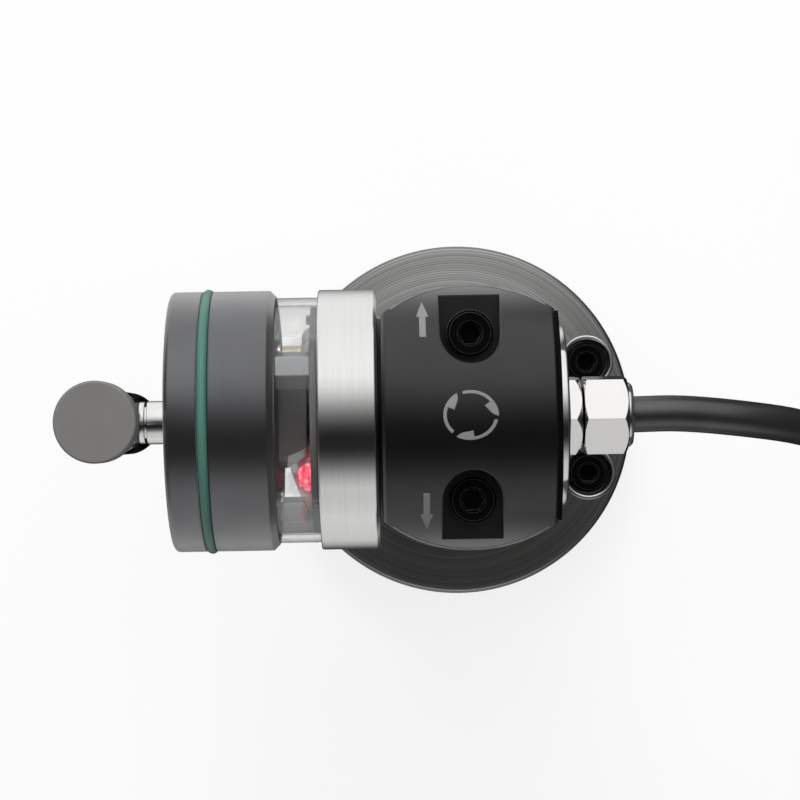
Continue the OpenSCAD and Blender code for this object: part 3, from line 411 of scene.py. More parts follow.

# %% [markdown]
# Two finishes need more. The window is a thin clear tube. Where it is seen face on, it lets nearly all
# through, and where it is seen along its wall it bends light, so a Layer Weight node gives the share of
# glass. The lit lenses glow red and colour the pieces beside them; pale pink patches in the glow are a
# painted highlight.

# %% Window and lit lenses
window_clear, clear_tree, clear_shader = new_finish("clear window", (0.96, 0.97, 0.965), 0.0, 0.02)
clear_shader.inputs["Transmission Weight"].default_value = 1.0
clear_shader.inputs["IOR"].default_value = 1.4
facing = add(clear_tree, "ShaderNodeLayerWeight", Blend=0.5)
GLASS_SHARE = [(0.0, 0.18), (0.7, 0.2), (0.92, 0.6), (1.0, 0.8)]
clear_tree.links.new(ramp(clear_tree, facing.outputs["Facing"], GLASS_SHARE), clear_shader.inputs["Alpha"])
lit_red, lit_tree, lit_shader = new_finish("lit lens", (0.6, 0.06, 0.09), 0.0, 0.12)
glow = object_noise(lit_tree, 1100, 2.0)
# the glow runs from dark red to pale pink at random: the pale patches are a painted highlight on the lens
# dome
GLOW_AND_HIGHLIGHT_REDS = [(0.38, (0.3, 0.02, 0.04)), (0.52, (0.7, 0.09, 0.14)), (0.66, (1.0, 0.5, 0.55))]
lit_tree.links.new(ramp(lit_tree, glow, GLOW_AND_HIGHLIGHT_REDS), lit_shader.inputs["Emission Color"])
lit_shader.inputs["Emission Strength"].default_value = 1.05
print("window and lit lens:", window_clear.name, "and", lit_red.name)

# %% [markdown]
# Each solid now gets its finish. One table keeps the choice in one place.

# %% Which piece has which finish
FINISH_OF = {
    black_anodised: ["pedestal", "housing"],
    base_turned: ["base_flange"],
    black_oxide: ["base_screws", "column_screws", "clamp_screws", "holder_screw", "front_lip"],
    black_rubber: ["neck_seal", "window_gaskets", "diaphragm", "gland_washer", "gland_seal", "lead_sleeve"],
    ring_steel: ["clamp_ring"],
    plate_metal: ["spigot", "front_plate"],
    window_clear: ["window_tube"],
    board: ["lamp_board"],
    lens_grey: ["lamp_lenses"],
    lit_red: ["lamp_lit"],
    moulded: ["board_chip", "contact_block"],
    gold: ["contact_strip", "guide_bush"],
    pillar_steel: ["pillars", "plunger_clip", "plunger_spring"],
    grey_satin: ["head_shell"],
    green_rubber: ["head_oring"],
    polished_x: ["plunger", "pivot_ball", "stylus_hub", "stem_shield", "stem", "rear_cap", "plate_screws"],
    black_gloss: ["stylus_holder"],
    polished_z: ["stylus_post"],
    carbide: ["touch_disc"],
    nickel: ["gland_body", "gland_nut"],
    tie_plastic: ["cable_tie", "lead_ends"],
    sheath: ["cable_run", "cable_coil"],
}
for material, names in FINISH_OF.items():
    for name in names:
        nodes[name].data.materials.clear()
        nodes[name].data.materials.append(material)
cable.data.materials.append(sheath)
print("nodes with a finish:", sum(map(len, FINISH_OF.values())))

# %% [markdown]
# ## Geometry Nodes
# Screws repeat, so one tree makes a screw and sets it on every point of a small mesh. Each tree has named
# inputs for its sizes. At its end, the copies become real mesh and get a material, because the export
# keeps no copies. The result is turned into a plain mesh, and the modifier goes.


# %% A small kit for node trees
def new_tree(name, inputs):
    """A tree with a geometry in and out and named inputs; returns the tree and its input sockets."""
    tree = bpy.data.node_groups.new(name, "GeometryNodeTree")
    tree.interface.new_socket(name="Geometry", in_out="INPUT", socket_type="NodeSocketGeometry")
    tree.interface.new_socket(name="Geometry", in_out="OUTPUT", socket_type="NodeSocketGeometry")
    for label, kind in inputs:
        tree.interface.new_socket(name=label, in_out="INPUT", socket_type="NodeSocket" + kind)
    source = tree.nodes.new("NodeGroupInput")
    return tree, {socket.name: socket for socket in source.outputs if socket.name}


def times(tree, socket, number):
    """A number times a fixed one."""
    return calc(tree, "MULTIPLY", socket, number)


def moved(tree, geometry, x=0.0, y=0.0, z=0.0):
    """A geometry moved by three numbers or sockets."""
    offset = wire(tree, "ShaderNodeCombineXYZ", {0: x, 1: y, 2: z})
    return wire(tree, "GeometryNodeTransform", {"Geometry": geometry, "Translation": offset})


def end_tree(tree, geometry, material):
    """Realize Instances and Set Material, and the way out."""
    plain = wire(tree, "GeometryNodeRealizeInstances", {"Geometry": geometry})
    painted = wire(tree, "GeometryNodeSetMaterial", {"Geometry": plain, "Material": material})
    out = tree.nodes.new("NodeGroupOutput")
    tree.links.new(painted, out.inputs[0])
    return tree


def realised(name, tree, values, points, edges=()):
    """A plain mesh object from a tree that runs on points and edges, in millimetres."""
    start = bpy.data.meshes.new(name)
    start.from_pydata([Vector(p) * mm for p in points], list(edges), [])
    obj = bpy.data.objects.new(name, start)
    scene.collection.objects.link(obj)
    modifier = obj.modifiers.new("tree", "NODES")
    modifier.node_group = tree
    for item in tree.interface.items_tree:
        if item.in_out == "INPUT" and item.name in values:
            modifier[item.identifier] = values[item.name]
    mesh = bpy.data.meshes.new_from_object(obj.evaluated_get(bpy.context.evaluated_depsgraph_get()))
    obj.modifiers.clear()
    obj.data = mesh
    mesh.shade_smooth()
    mesh.set_sharp_from_angle(angle=math.radians(32))
    print(name, "faces:", len(mesh.polygons))
    return obj


# %% [markdown]
# ### Socket screws
# A socket screw's head is a short cylinder with a bevelled top, a hexagon hole with a turned lead-in, and
# fine ribs round its side for the fingers. The hole is cut with a Boolean, and the ribs stand on a
# circle.


# %% The screw tree
HEX_CORNER = 0.57735  # the corner radius of a hexagon that is 1 across its flats


def rod(tree, vertices, radius, depth, segments=1):
    """A closed cylinder along Z, about the origin."""
    return wire(tree, "GeometryNodeMeshCylinder", {
        "Vertices": vertices, "Side Segments": segments, "Fill Segments": 1,
        "Radius": radius, "Depth": depth})


def screw_tree():
    """Socket screws on points: each point is a head's seat."""
    tree, size = new_tree("socket screws", [
        ("Head diameter", "Float"), ("Head height", "Float"), ("Head bevel", "Float"),
        ("Key width", "Float"), ("Key depth", "Float"), ("Shank diameter", "Float"),
        ("Shank length", "Float"), ("Ribs", "Int"), ("Finish", "Material")])
    head_h, key, shank_l = size["Head height"], size["Key width"], size["Shank length"]
    head_r = times(tree, size["Head diameter"], 0.5)
    place = wire(tree, "GeometryNodeInputPosition")
    split = tree.nodes.new("ShaderNodeSeparateXYZ")
    tree.links.new(place, split.inputs[0])
    on_top = wire(tree, "FunctionNodeCompare", {0: split.outputs["Z"], 1: times(tree, head_h, 0.49)},
                  data_type="FLOAT", operation="GREATER_THAN")
    shrink = calc(tree, "DIVIDE", calc(tree, "SUBTRACT", head_r, size["Head bevel"]), head_r)
    narrow = wire(tree, "ShaderNodeCombineXYZ", {0: shrink, 1: shrink, 2: 1.0})
    head = wire(tree, "GeometryNodeSetPosition", {
        "Geometry": rod(tree, 48, head_r, head_h, 10), "Selection": on_top,
        "Position": vector(tree, "MULTIPLY", a=place, b=narrow)})
    head = moved(tree, head, z=times(tree, head_h, 0.5))
    hexagon = rod(tree, 6, times(tree, key, HEX_CORNER), times(tree, size["Key depth"], 2.0))
    lead_in = wire(tree, "GeometryNodeMeshCone", {
        "Vertices": 36, "Side Segments": 1, "Fill Segments": 1, "Radius Top": times(tree, key, 0.66),
        "Radius Bottom": times(tree, key, 0.48), "Depth": times(tree, key, 0.14)})
    lead_in = moved(tree, lead_in, z=calc(tree, "SUBTRACT", head_h, times(tree, key, 0.12)))
    cutters = [moved(tree, hexagon, z=head_h), lead_in]
    cut_head = wire(tree, "GeometryNodeMeshBoolean", {"Mesh 1": head, "Mesh 2": cutters},
                    operation="DIFFERENCE")
    rib = rod(tree, 5, times(tree, head_r, 0.048), times(tree, head_h, 0.72))
    rib = moved(tree, rib, z=times(tree, head_h, 0.44))
    circle = wire(tree, "GeometryNodeCurvePrimitiveCircle", {
        "Resolution": size["Ribs"], "Radius": times(tree, head_r, 0.985)})
    ribs = wire(tree, "GeometryNodeInstanceOnPoints", {"Points": circle, "Instance": rib})
    shank = rod(tree, 28, times(tree, size["Shank diameter"], 0.5), shank_l)
    shank = moved(tree, shank, z=times(tree, shank_l, -0.5))
    screw = wire(tree, "GeometryNodeJoinGeometry", {"Geometry": [cut_head, ribs, shank]})
    placed = wire(tree, "GeometryNodeInstanceOnPoints", {"Points": size["Geometry"], "Instance": screw})
    return end_tree(tree, placed, size["Finish"])


# %% The screws
TABLE_SCREW_X, TABLE_SCREW_Y, TABLE_SEAT, TABLE_SHANK = 23.6, 10.0, 5.6, 5.1
SWIVEL_SCREW_Y, SWIVEL_SEAT, SWIVEL_SHANK = 12.4, 79.7, 45.0
SIDES = (-1, 1)
socket_screws = screw_tree()
M4 = {"Head diameter": 7.0 * mm, "Head height": 4.0 * mm, "Head bevel": 0.4 * mm, "Key width": 3.0 * mm,
      "Key depth": 2.4 * mm, "Shank diameter": 4.0 * mm, "Ribs": 44, "Finish": black_oxide}
holes = [(sx * TABLE_SCREW_X, sy * TABLE_SCREW_Y) for sx in SIDES for sy in SIDES]
table_screws = realised("table_screws", socket_screws, {**M4, "Shank length": TABLE_SHANK * mm},
                        [(x, y, TABLE_SEAT) for x, y in holes])
swivel_screws = realised("swivel_screws", socket_screws, {**M4, "Shank length": SWIVEL_SHANK * mm},
                         [(0, side * SWIVEL_SCREW_Y, SWIVEL_SEAT) for side in SIDES])
for piece, node in ((table_screws, "base_screws"), (swivel_screws, "clamp_screws")):
    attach(piece, "base")
    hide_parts(node)

# %% [markdown]
# The rims of the base's screw holes are bare and bright, because a tool has broken their edges. One low
# ring, swept round a circle on each point, shows it.


# %% Bright lips of the screw holes
def lip_tree():
    """A low ring on each point."""
    tree, size = new_tree("hole lips", [("Radius", "Float"), ("Width", "Float"), ("Height", "Float"),
                                        ("Finish", "Material")])
    circle = wire(tree, "GeometryNodeCurvePrimitiveCircle", {"Resolution": 64, "Radius": size["Radius"]})
    flat = wire(tree, "GeometryNodeCurvePrimitiveCircle", {"Resolution": 8, "Radius": 1.0})
    across = wire(tree, "ShaderNodeCombineXYZ", {0: size["Width"], 1: size["Height"], 2: 1.0})
    flat = wire(tree, "GeometryNodeTransform", {"Geometry": flat, "Scale": across})
    lip = wire(tree, "GeometryNodeCurveToMesh", {"Curve": circle, "Profile Curve": flat})
    placed = wire(tree, "GeometryNodeInstanceOnPoints", {"Points": size["Geometry"], "Instance": lip})
    return end_tree(tree, placed, size["Finish"])


BASE_TOP = 10.0
hole_lips = realised("hole_lips", lip_tree(), {"Radius": 4.45 * mm, "Width": 0.36 * mm, "Height": 0.1 * mm,
                                               "Finish": polished_x}, [(x, y, BASE_TOP) for x, y in holes])
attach(hole_lips, "base")

# %% [markdown]
# ### Cable tie
# A cable tie is a thin band with fine ribs across it, which a pawl catches. The band follows a loop round
# the coil, so a tree sweeps a flat profile along the loop and sets the ribs along the same line.


# %% The tie tree
def tie_tree():
    """A flat band with ribs along a closed line."""
    tree, size = new_tree("ribbed band", [
        ("Width", "Float"), ("Thickness", "Float"), ("Corner", "Float"), ("Rib pitch", "Float"),
        ("Finish", "Material")])
    width, thickness, pitch = size["Width"], size["Thickness"], size["Rib pitch"]
    path = wire(tree, "GeometryNodeMeshToCurve", {"Mesh": size["Geometry"]})
    path = wire(tree, "GeometryNodeFilletCurve", {"Curve": path, "Radius": size["Corner"], "Count": 6},
                mode="POLY")
    flat = wire(tree, "GeometryNodeCurvePrimitiveQuadrilateral", {"Width": width, "Height": thickness})
    band = wire(tree, "GeometryNodeCurveToMesh", {"Curve": path, "Profile Curve": flat})
    marks = wire(tree, "GeometryNodeResampleCurve", {"Curve": path, "Length": pitch}, mode="LENGTH")
    rib_size = wire(tree, "ShaderNodeCombineXYZ", {
        0: times(tree, width, 0.72), 1: times(tree, thickness, 1.5), 2: times(tree, pitch, 0.45)})
    rib = wire(tree, "GeometryNodeMeshCube", {"Size": rib_size})
    facing = wire(tree, "FunctionNodeAxesToRotation", {
        0: wire(tree, "GeometryNodeInputTangent"), 1: wire(tree, "GeometryNodeInputNormal")},
        primary_axis="Z", secondary_axis="X")
    ribs = wire(tree, "GeometryNodeInstanceOnPoints",
                {"Points": marks, "Instance": rib, "Rotation": facing})
    both = wire(tree, "GeometryNodeJoinGeometry", {"Geometry": [band, ribs]})
    return end_tree(tree, both, size["Finish"])


# %% The tie
TIE_T, TIE_WIDTH, TIE_DEG = 0.5, 8, 222
coil_in, coil_out = COIL_MEAN_R - 2 * CABLE_D, COIL_MEAN_R + 2 * CABLE_D
coil_top = COIL_LIFT + 3 * CABLE_D
half = TIE_T / 2
tie_in, tie_out, tie_low = coil_in - 1.5 * TIE_T, coil_out + 1.5 * TIE_T, COIL_LIFT - half
tie_high = coil_top + CABLE_D + half
loop = [(tie_in, tie_low), (tie_out, tie_low), (tie_out, coil_top + half),
        (coil_in + CABLE_D + half, tie_high), (tie_in, tie_high)]
out_x, out_y = math.cos(math.radians(TIE_DEG)), math.sin(math.radians(TIE_DEG))
tie = realised("tie", tie_tree(), {"Width": TIE_WIDTH * mm, "Thickness": TIE_T * mm, "Corner": 1.4 * mm,
                                   "Rib pitch": 0.9 * mm, "Finish": tie_plastic},
               [(COIL_AT[0] + r * out_x, COIL_AT[1] + r * out_y, z) for r, z in loop],
               [(i, (i + 1) % len(loop)) for i in range(len(loop))])
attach(tie, "housing")
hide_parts("cable_tie")

# %% [markdown]
# ### The cable's end
# The cable ends bare, as such a cable does before it is wired: a shrunk sleeve, then four leads with
# stripped copper tips. Each is a lathe shape: a list of lengths and radii, spun round the cable's last
# direction.

# %% A lathe along the cable's end
end_r, end_deg = coil_in + 1.5 * CABLE_D + SLEEVE_WALL + SLEEVE_GAP, math.radians(COIL_END)
END_AT = Vector((COIL_AT[0] + end_r * math.cos(end_deg), COIL_AT[1] + end_r * math.sin(end_deg),
                 coil_top + CABLE_D / 2 + SLEEVE_WALL))
ALONG = Vector((-math.sin(end_deg), math.cos(end_deg), 0))
ACROSS = Vector((-math.cos(end_deg), -math.sin(end_deg), 0))
UP = Vector((0, 0, 1))


def lathe(shape, profile, offset=(0, 0), sides=24, slot=0):
    """A closed round shape along the cable's end, from lengths and radii in millimetres."""
    rings = []
    for length, radius in profile:
        middle = END_AT + ALONG * length + ACROSS * offset[0] + UP * offset[1]
        ring = []
        for i in range(sides):
            a = 2 * math.pi * i / sides
            place = middle + ACROSS * radius * math.cos(a) + UP * radius * math.sin(a)
            ring.append(shape.verts.new(place * mm))
        rings.append(ring)
    for a, b in zip(rings, rings[1:]):
        for i in range(sides):
            j = (i + 1) % sides
            shape.faces.new([a[i], a[j], b[j], b[i]]).material_index = slot
    shape.faces.new(rings[0][::-1]).material_index = slot
    shape.faces.new(rings[-1]).material_index = slot


def from_shape(name, shape, materials, sharp=None):
    """An object from a bmesh: smooth but for edges past an angle, or flat where no angle is given."""
    mesh = bpy.data.meshes.new(name)
    shape.to_mesh(mesh)
    shape.free()
    if sharp is not None:
        mesh.shade_smooth()
        mesh.set_sharp_from_angle(angle=math.radians(sharp))
    for material in materials:
        mesh.materials.append(material)
    obj = bpy.data.objects.new(name, mesh)
    scene.collection.objects.link(obj)
    print(name, "faces:", len(mesh.polygons))
    return obj


def lathed(name, node, materials, parts):
    """One object from several lathe shapes, in place of a node on the cable."""
    shape = bmesh.new()
    for part in parts:
        lathe(shape, **part)
    bmesh.ops.recalc_face_normals(shape, faces=shape.faces)
    obj = from_shape(name, shape, materials, 40)
    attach(obj, "housing")
    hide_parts(node)
    return obj


# %% Leads and sleeve
LEAD_R, LEAD_OFF, LEAD_FROM, LEAD_TO = 0.7, 0.85, 13.5, 25.6
STRAND_R, STRAND_STEP, STRAND_RIDGES, TIP_AT = 0.36, 0.16, 38, 32
shrunk = CABLE_D / 2 + SLEEVE_WALL
sleeve = lathed("sleeve", "lead_sleeve", [black_rubber], [
    {"profile": [(0, shrunk - 0.28), (0.15, shrunk - 0.06), (0.5, shrunk), (9.5, shrunk),
                 (11.2, shrunk - 0.2), (13.4, shrunk - 0.45), (13.9, shrunk - 0.7), (14, shrunk - 1.0)]}])
sheath_shape = [(LEAD_FROM, LEAD_R), (LEAD_TO, LEAD_R), (LEAD_TO + 0.2, LEAD_R - 0.08),
                (LEAD_TO + 0.22, LEAD_R - 0.3)]
strands = [(LEAD_TO + 0.1 + STRAND_STEP * i, STRAND_R + 0.04 * (i % 2)) for i in range(STRAND_RIDGES)]
strands += [(TIP_AT - 0.1, 0.3), (TIP_AT, 0.15)]
parts = []
for number, (sy, sz) in enumerate([(-1, -1), (-1, 1), (1, -1), (1, 1)]):
    at = (LEAD_OFF * sy, LEAD_OFF * sz)
    parts.append({"profile": sheath_shape, "offset": at, "slot": number})
    parts.append({"profile": strands, "offset": at, "sides": 12, "slot": len(lead_sheaths)})
leads = lathed("leads", "lead_ends", lead_sheaths + [copper], parts)

# %% [markdown]
# ## Pieces that give way
# Two hidden pieces change shape when the stylus is pushed in; both are made here at rest. A spiral swept
# with a round wire is the plunger's spring. The rubber diaphragm is a thin dished ring: its rim stays in
# the head and its middle sits on the plunger.


# %% Spring
def spring_tree():
    """A coil spring along X that starts at each point."""
    tree, size = new_tree("coil spring", [("Radius", "Float"), ("Length", "Float"), ("Turns", "Float"),
                                          ("Wire diameter", "Float"), ("Finish", "Material")])
    path = wire(tree, "GeometryNodeCurveSpiral", {
        "Resolution": 28, "Rotations": size["Turns"], "Start Radius": size["Radius"],
        "End Radius": size["Radius"], "Height": size["Length"]})
    round_wire = wire(tree, "GeometryNodeCurvePrimitiveCircle", {
        "Resolution": 10, "Radius": times(tree, size["Wire diameter"], 0.5)})
    coil = wire(tree, "GeometryNodeCurveToMesh",
                {"Curve": path, "Profile Curve": round_wire, "Fill Caps": True})
    coil = wire(tree, "GeometryNodeTransform", {"Geometry": coil, "Rotation": (0, math.pi / 2, 0)})
    placed = wire(tree, "GeometryNodeInstanceOnPoints", {"Points": size["Geometry"], "Instance": coil})
    return end_tree(tree, placed, size["Finish"])


SPRING_FROM, SPRING_TO, SPRING_WIRE, TRAVEL = -35.15, -32.05, 0.5, 2.0
spring = realised("spring", spring_tree(), {
    "Radius": 2.35 * mm, "Length": (SPRING_TO - SPRING_FROM - SPRING_WIRE) * mm, "Turns": 3.0,
    "Wire diameter": SPRING_WIRE * mm, "Finish": pillar_steel},
    [(SPRING_FROM + SPRING_WIRE / 2, 0, AXIS_H)])
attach(spring, "housing")
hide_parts("plunger_spring")
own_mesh(spring)

# %% [markdown]
# ## Signs on the housing
# A pair of arrows points to the sides, and three bent arrows show the swivel. They are etched pale into
# the black arch. Each is drawn flat as a ribbon of cross lines, and then laid on the arch, so it follows
# the curve.


# %% Arrows, drawn flat
def straight_arrow(tail, tip, shaft, head, head_len, rows=8):
    """Two ribbons of an arrow along Y: its shaft and its head."""
    neck = tip[1] - math.copysign(head_len, tip[1] - tail[1])
    shares = [i / rows for i in range(rows + 1)]
    return [[((tail[0] - (wa + (wb - wa) * s) / 2, a + (b - a) * s),
              (tail[0] + (wa + (wb - wa) * s) / 2, a + (b - a) * s)) for s in shares]
            for a, b, wa, wb in [(tail[1], neck, shaft, shaft), (neck, tip[1], head, 0.03)]]


def bent_arrow(center, start, tip, shaft_r, tip_r, head_deg, flat=0.9):
    """Two ribbons of an arrow that runs clockwise along a flattened arc, with its barb on the inside."""
    def cross(angle, inner, outer):
        a = math.radians(angle)
        x, y = math.cos(a), flat * math.sin(a)
        return tuple((center[0] + r * x, center[1] + r * y) for r in (inner, outer))
    neck = tip + head_deg
    shaft = [cross(start + 1, shaft_r[0] + 0.16, shaft_r[1] - 0.16)]
    shaft += [cross(start + (neck - 3 - start) * i / 20, *shaft_r) for i in range(21)]
    leaf = [(0, 2.5), (0.12, 2.55), (0.3, 2.62), (0.5, 2.74), (0.7, 2.93), (0.84, 3.18), (0.94, 3.56),
            (1, tip_r - 0.03)]
    head = [cross(neck - head_deg * t, inner, shaft_r[1] + (tip_r - shaft_r[1]) * t) for t, inner in leaf]
    return [shaft, head]


# %% Laid on the arch
ARCH_R = 20.7


def laid_on_arch(name, ribbons, material, raise_by=0.03, sink_by=0.05):
    """Thin closed plates on the arch, from flat ribbons."""
    def on_arch(x, y, lift):
        up = Vector((0, y, math.sqrt(ARCH_R ** 2 - y ** 2))) / ARCH_R
        return (Vector((x, 0, AXIS_H)) + up * (ARCH_R + lift)) * mm
    shape = bmesh.new()
    for ribbon in ribbons:
        rings = []
        for left, right in ribbon:
            corners = [(*left, raise_by), (*right, raise_by), (*right, -sink_by), (*left, -sink_by)]
            rings.append([shape.verts.new(on_arch(*c)) for c in corners])
        for a, b in zip(rings, rings[1:]):
            for i in range(4):
                shape.faces.new([a[i], a[(i + 1) % 4], b[(i + 1) % 4], b[i]])
        shape.faces.new(rings[0][::-1])
        shape.faces.new(rings[-1])
    bmesh.ops.recalc_face_normals(shape, faces=shape.faces)
    obj = from_shape(name, shape, [material])
    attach(obj, "housing")
    return obj


# %% The signs
SHAFT, BARB, BARB_LEN = 1.0, 1.9, 2.4
ARROWS = (((-7.1, 11.8), (-7.1, 17.3)), ((-6.93, -11.15), (-6.93, -16.75)))
SWIVEL_AT, SWIVEL_SHAFT, SWIVEL_TIP, SWIVEL_BARB = (-0.36, 0.19), (3.5, 4.04), 4.12, 40
SWIVEL_ARCS = ((107, -3), (-12.5, -122), (-134.5, -241))
etched = grained("etched sign", (0.2, 0.2, 0.2), 0.0, 0.6, 9000, 0.06, 0.05, 0.1)
ribbons = []
for tail_at, tip_at in ARROWS:
    ribbons += straight_arrow(tail_at, tip_at, SHAFT, BARB, BARB_LEN)
for start, tip in SWIVEL_ARCS:
    ribbons += bent_arrow(SWIVEL_AT, start, tip, SWIVEL_SHAFT, SWIVEL_TIP, SWIVEL_BARB)
laid_on_arch("signs", ribbons, etched)

# %% [markdown]
# The housing's arch ends in a sharp rim, where it was turned round the upright axis. A narrow pale
# ribbon runs along it on both sides, laid on the arch in the same way as the signs: a painted highlight
# of the rim's rounded edge. A black strip along the arch's rear edge is painted shade for the dark gap
# there.

# %% Painted highlights on the rims and painted shade at the rear edge of the housing
COLUMN_R = 20.3
RIM_R = (COLUMN_R - 0.42, COLUMN_R - 0.02)
RIM_FROM, RIM_SWEEP, RIM_STEPS = -36.5, 71, 60
SHADOW_STRIP_X, SHADOW_STRIP_HALF, SHADOW_STRIP_STEPS = (12.55, 13.1), 15.6, 24
# a pale grey ribbon on each rim: a painted highlight of the rim's rounded edge
rim_highlight = grained("painted rim highlight", (0.2, 0.2, 0.2), 0.6, 0.4, 5000, 0.06, 0.03, 0.25, 400)
angles = [math.radians(RIM_FROM + RIM_SWEEP * i / RIM_STEPS) for i in range(RIM_STEPS + 1)]
rims = [[tuple((r * math.sin(a), side * r * math.cos(a)) for r in RIM_R) for a in angles] for side in SIDES]
laid_on_arch("rim_highlights", rims, rim_highlight)
across = [SHADOW_STRIP_HALF * (i / SHADOW_STRIP_STEPS - 1) for i in range(2 * SHADOW_STRIP_STEPS + 1)]
# a black strip along the rear edge: painted shade where the gap behind the arch is dark
laid_on_arch("rear_shadow_strip", [[tuple((x, y) for x in SHADOW_STRIP_X) for y in across]], black_gloss, -0.04, 0.9)

# %% [markdown]
# ## Turned pieces along the probe's axis
# The rear cap, a black ring between it and the housing, the neck's seal and the diaphragm are turned
# rings. The black ring is painted shade for the dark gap there. A closed list of lengths and radii, spun
# round the probe's axis, gives their shapes. The gland's hexagons were tightened by hand, so they stand a
# few degrees off: each is a turned copy of its solid, with its loose triangles joined first.


# %% A lathe about the probe's axis
def turned_ring(name, node, profile, material, sides=128, rides=True):
    """A ring about the probe's axis from a closed list of x and radius."""
    shape = bmesh.new()
    loops = []
    for i in range(sides):
        a = 2 * math.pi * i / sides
        loops.append([shape.verts.new((x * mm, r * math.sin(a) * mm, (AXIS_H + r * math.cos(a)) * mm))
                      for x, r in profile])
    for a, b in zip(loops, loops[1:] + loops[:1]):
        for i in range(len(profile)):
            j = (i + 1) % len(profile)
            shape.faces.new([a[i], a[j], b[j], b[i]])
    bmesh.ops.recalc_face_normals(shape, faces=shape.faces)
    return dressed(name, node, shape, material, rides=rides)


def dressed(name, node, shape, material, sharp=28, rides=True):
    """A finished object from a bmesh, in place of a node of the housing or added to its rear cap."""
    obj = from_shape(name, shape, [material], sharp)
    if rides:
        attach(obj, "housing")
    if node:
        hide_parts(node)
    return obj


def tightened(name, node, degrees, scale, material):
    """A copy of a node, turned about the probe's axis and drawn in a little."""
    shape = bmesh.new()
    shape.from_mesh(nodes[node].data)
    bmesh.ops.remove_doubles(shape, verts=shape.verts, dist=1e-6)
    for face in shape.faces:
        face.material_index = 0
    axis = Matrix.Translation((0, 0, AXIS_H * mm))
    shape.transform(axis @ Matrix.Rotation(math.radians(degrees), 4, "X")
                    @ Matrix.Diagonal((1, scale, scale, 1)) @ axis.inverted())
    return dressed(name, node, shape, material, 9)


# %% Turned pieces
CAP = [(13.18, 4.2), (13.18, 13.8), (13.22, 13.93), (13.35, 14), (14.25, 14), (14.45, 13.95), (14.6, 13.8),
       (14.68, 13.55), (14.9, 7), (14.9, 4.2)]
CAP_SHADOW_RING = [(12.62, 4.3), (12.62, 13.85), (13.16, 13.85), (13.16, 4.3)]
NECK = [(-13.85, 12.05), (-13.85, 15.4), (-13.3, 15.4), (-13.3, 12.05)]
DISH = [(-41.5, 15.45), (-41.5, 13), (-41.2, 11), (-40.6, 9), (-40, 7), (-39.65, 5.6), (-39.5, 4.95)]
DISH_WALL = 0.4
turned_ring("cap_disc", "rear_cap", CAP, polished_x)
# a black ring between housing and cap: painted shade for the dark gap there
turned_ring("cap_shadow_ring", None, CAP_SHADOW_RING, black_oxide)
turned_ring("neck_ring", "neck_seal", NECK, black_rubber)
membrane = turned_ring("membrane", "diaphragm", DISH + [(x + DISH_WALL, r) for x, r in reversed(DISH)],
                       black_rubber, rides=False)
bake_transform(membrane)

# %% Tightened hexagons of the gland
GLAND_TURN, GLAND_SCALE = 5.6, 0.955
tightened("gland_hexagon", "gland_body", GLAND_TURN, GLAND_SCALE, nickel)
tightened("gland_cap_nut", "gland_nut", GLAND_TURN, GLAND_SCALE, nickel)

# %% [markdown]
# ## Light and floor
# Round metal shows what is around it. Here the sides are bright and a strip overhead is dark, which draws
# the dark line along each cylinder. The world's brightness is read from the angle about the probe's axis.
# It is white to the camera. The floor is mostly white to the camera too, with plain diffuse in it, so
# that the shadow stays. In mirrors it is dark close under the object, where little light comes, paler
# further out to the sides, and dim behind the gland.

# %% World
SKY = [(-180, 0.65), (-95, 0.68), (-75, 0.6), (-62, 0.6), (-50, 0.36), (-42, 0.17), (-34, 0.06),
       (-27, 0.02), (-14, 0.015), (-6, 0.05), (3, 0.16), (12, 0.36), (20, 0.6), (28, 0.82), (38, 0.98),
       (60, 0.98), (110, 0.92), (180, 0.6)]
DARK_ENDS = ((0.25, 0.75, 0.04), (-0.2, -0.7, 0.08))


def map_range(tree, source, values, smooth="SMOOTHSTEP"):
    """A number mapped from one range to another: low and high in, then low and high out."""
    limits = dict(zip(("From Min", "From Max", "To Min", "To Max"), values))
    return wire(tree, "ShaderNodeMapRange", {"Value": source, **limits}, interpolation_type=smooth)


def split_place(tree, output):
    """X, Y and Z of a texture coordinate, and the coordinate itself."""
    coords = tree.nodes.new("ShaderNodeTexCoord").outputs[output]
    split = tree.nodes.new("ShaderNodeSeparateXYZ")
    tree.links.new(coords, split.inputs[0])
    return (*split.outputs, coords)


world = bpy.data.worlds.new("studio")
scene.world = world
world.use_nodes = True
tree = world.node_tree
x, y, z, _ = split_place(tree, "Generated")
around = map_range(tree, calc(tree, "ARCTAN2", y, z), (-math.pi, math.pi, 0, 1), "LINEAR")
sky = ramp(tree, around, [((angle + 180) / 360, value) for angle, value in SKY])
for start, end, value in DARK_ENDS:
    sky = turned_to(tree, sky, (value, value, value), map_range(tree, x, (start, end, 0, 1)))
light_path = tree.nodes.new("ShaderNodeLightPath")
sky = turned_to(tree, sky, (1, 1, 1), light_path.outputs["Is Camera Ray"])
background = tree.nodes["Background"]
tree.links.new(sky, background.inputs["Color"])
background.inputs["Strength"].default_value = 1.0
print("sky stops:", len(SKY))


# %% Softbox
def softbox(name, place, size, watts, aim=(0, 0, 0.05)):
    """An area lamp that faces the object and stays out of the mirror images."""
    data = bpy.data.lights.new(name, "AREA")
    data.shape = "RECTANGLE"
    data.size, data.size_y = size
    data.energy = watts
    lamp = bpy.data.objects.new(name, data)
    scene.collection.objects.link(lamp)
    lamp.location = place
    lamp.rotation_mode = "QUATERNION"
    lamp.rotation_quaternion = (Vector(aim) - Vector(place)).to_track_quat("-Z", "Y")
    lamp.visible_glossy = False
    return lamp


lamps = [softbox("softbox above", place=(0, 0.35, 1.1), size=(1.3, 1.3), watts=9.5),
         softbox("softbox side", place=(-0.15, 0.85, 0.75), size=(0.35, 0.35), watts=5.0)]
print("lamps:", [lamp.name for lamp in lamps])

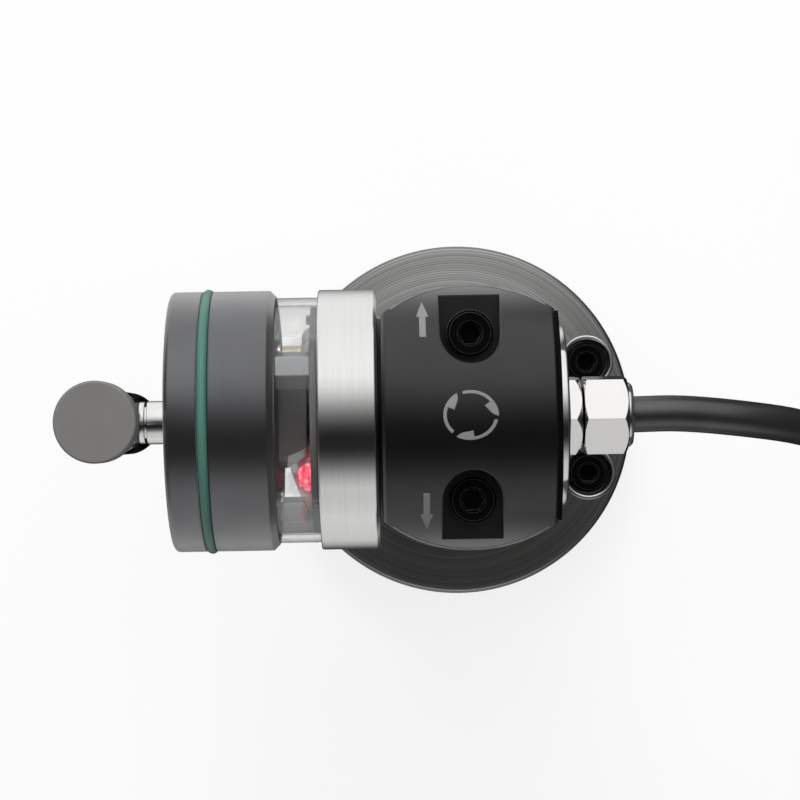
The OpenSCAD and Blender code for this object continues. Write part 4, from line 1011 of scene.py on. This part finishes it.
# %% Floor
FLOOR_HALF, SHADE_HALF = 4, 3
WHITE_BY_DISTANCE = (0.2, 0.8, 0.82, 1.0)
DIM_BEHIND = (0.02, 0.07, 1.0, 0.1)
FLOOR_SHADE = [(-3, 0.72), (-0.3, 0.7), (-0.106, 0.64), (-0.085, 0.56), (-0.066, 0.35), (-0.051, 0.12),
               (-0.04, 0.02), (0, 0.02), (0.033, 0.05), (0.038, 0.16), (0.051, 0.44), (0.066, 0.64),
               (0.095, 0.86), (0.12, 0.92), (0.5, 0.95), (3, 0.93)]
floor_mesh = bpy.data.meshes.new("floor")
corners = ((-1, -1), (1, -1), (1, 1), (-1, 1))
floor_mesh.from_pydata([(FLOOR_HALF * sx, FLOOR_HALF * sy, 0) for sx, sy in corners], [], [(0, 1, 2, 3)])
floor = bpy.data.objects.new("floor", floor_mesh)
scene.collection.objects.link(floor)
floor_paint = bpy.data.materials.new("floor paint")
floor_paint.use_nodes = True
tree = floor_paint.node_tree
tree.nodes.clear()
output = tree.nodes.new("ShaderNodeOutputMaterial")
matt = add(tree, "ShaderNodeBsdfDiffuse", Color=(0.9, 0.9, 0.9, 1))
white = add(tree, "ShaderNodeEmission", Color=(1, 1, 1, 1), Strength=1.0)
light_path = tree.nodes.new("ShaderNodeLightPath")
by_camera = light_path.outputs["Is Camera Ray"]
by_gloss = light_path.outputs["Is Glossy Ray"]
by_glass = light_path.outputs["Is Transmission Ray"]
x, y, _, coords = split_place(tree, "Object")
far = add(tree, "ShaderNodeVectorMath", operation="LENGTH")
tree.links.new(coords, far.inputs[0])

# %% What the floor shows
shade = ramp(tree, map_range(tree, y, (-SHADE_HALF, SHADE_HALF, 0, 1), "LINEAR"),
             [((place + SHADE_HALF) / (2 * SHADE_HALF), value) for place, value in FLOOR_SHADE])
in_mirrors = calc(tree, "MULTIPLY", shade, map_range(tree, x, DIM_BEHIND))
brightness = calc(tree, "MAXIMUM", in_mirrors, calc(tree, "MAXIMUM", by_camera, by_glass))
tree.links.new(brightness, white.inputs["Strength"])
to_camera = calc(tree, "MULTIPLY", by_camera, map_range(tree, far.outputs["Value"], WHITE_BY_DISTANCE))
seen = calc(tree, "MAXIMUM", to_camera, calc(tree, "MAXIMUM", by_gloss, by_glass))
mix = tree.nodes.new("ShaderNodeMixShader")
tree.links.new(seen, mix.inputs[0])
tree.links.new(matt.outputs[0], mix.inputs[1])
tree.links.new(white.outputs[0], mix.inputs[2])
tree.links.new(mix.outputs[0], output.inputs["Surface"])
floor_mesh.materials.append(floor_paint)
scene.view_settings.view_transform = "Standard"
print("floor stops:", len(FLOOR_SHADE))
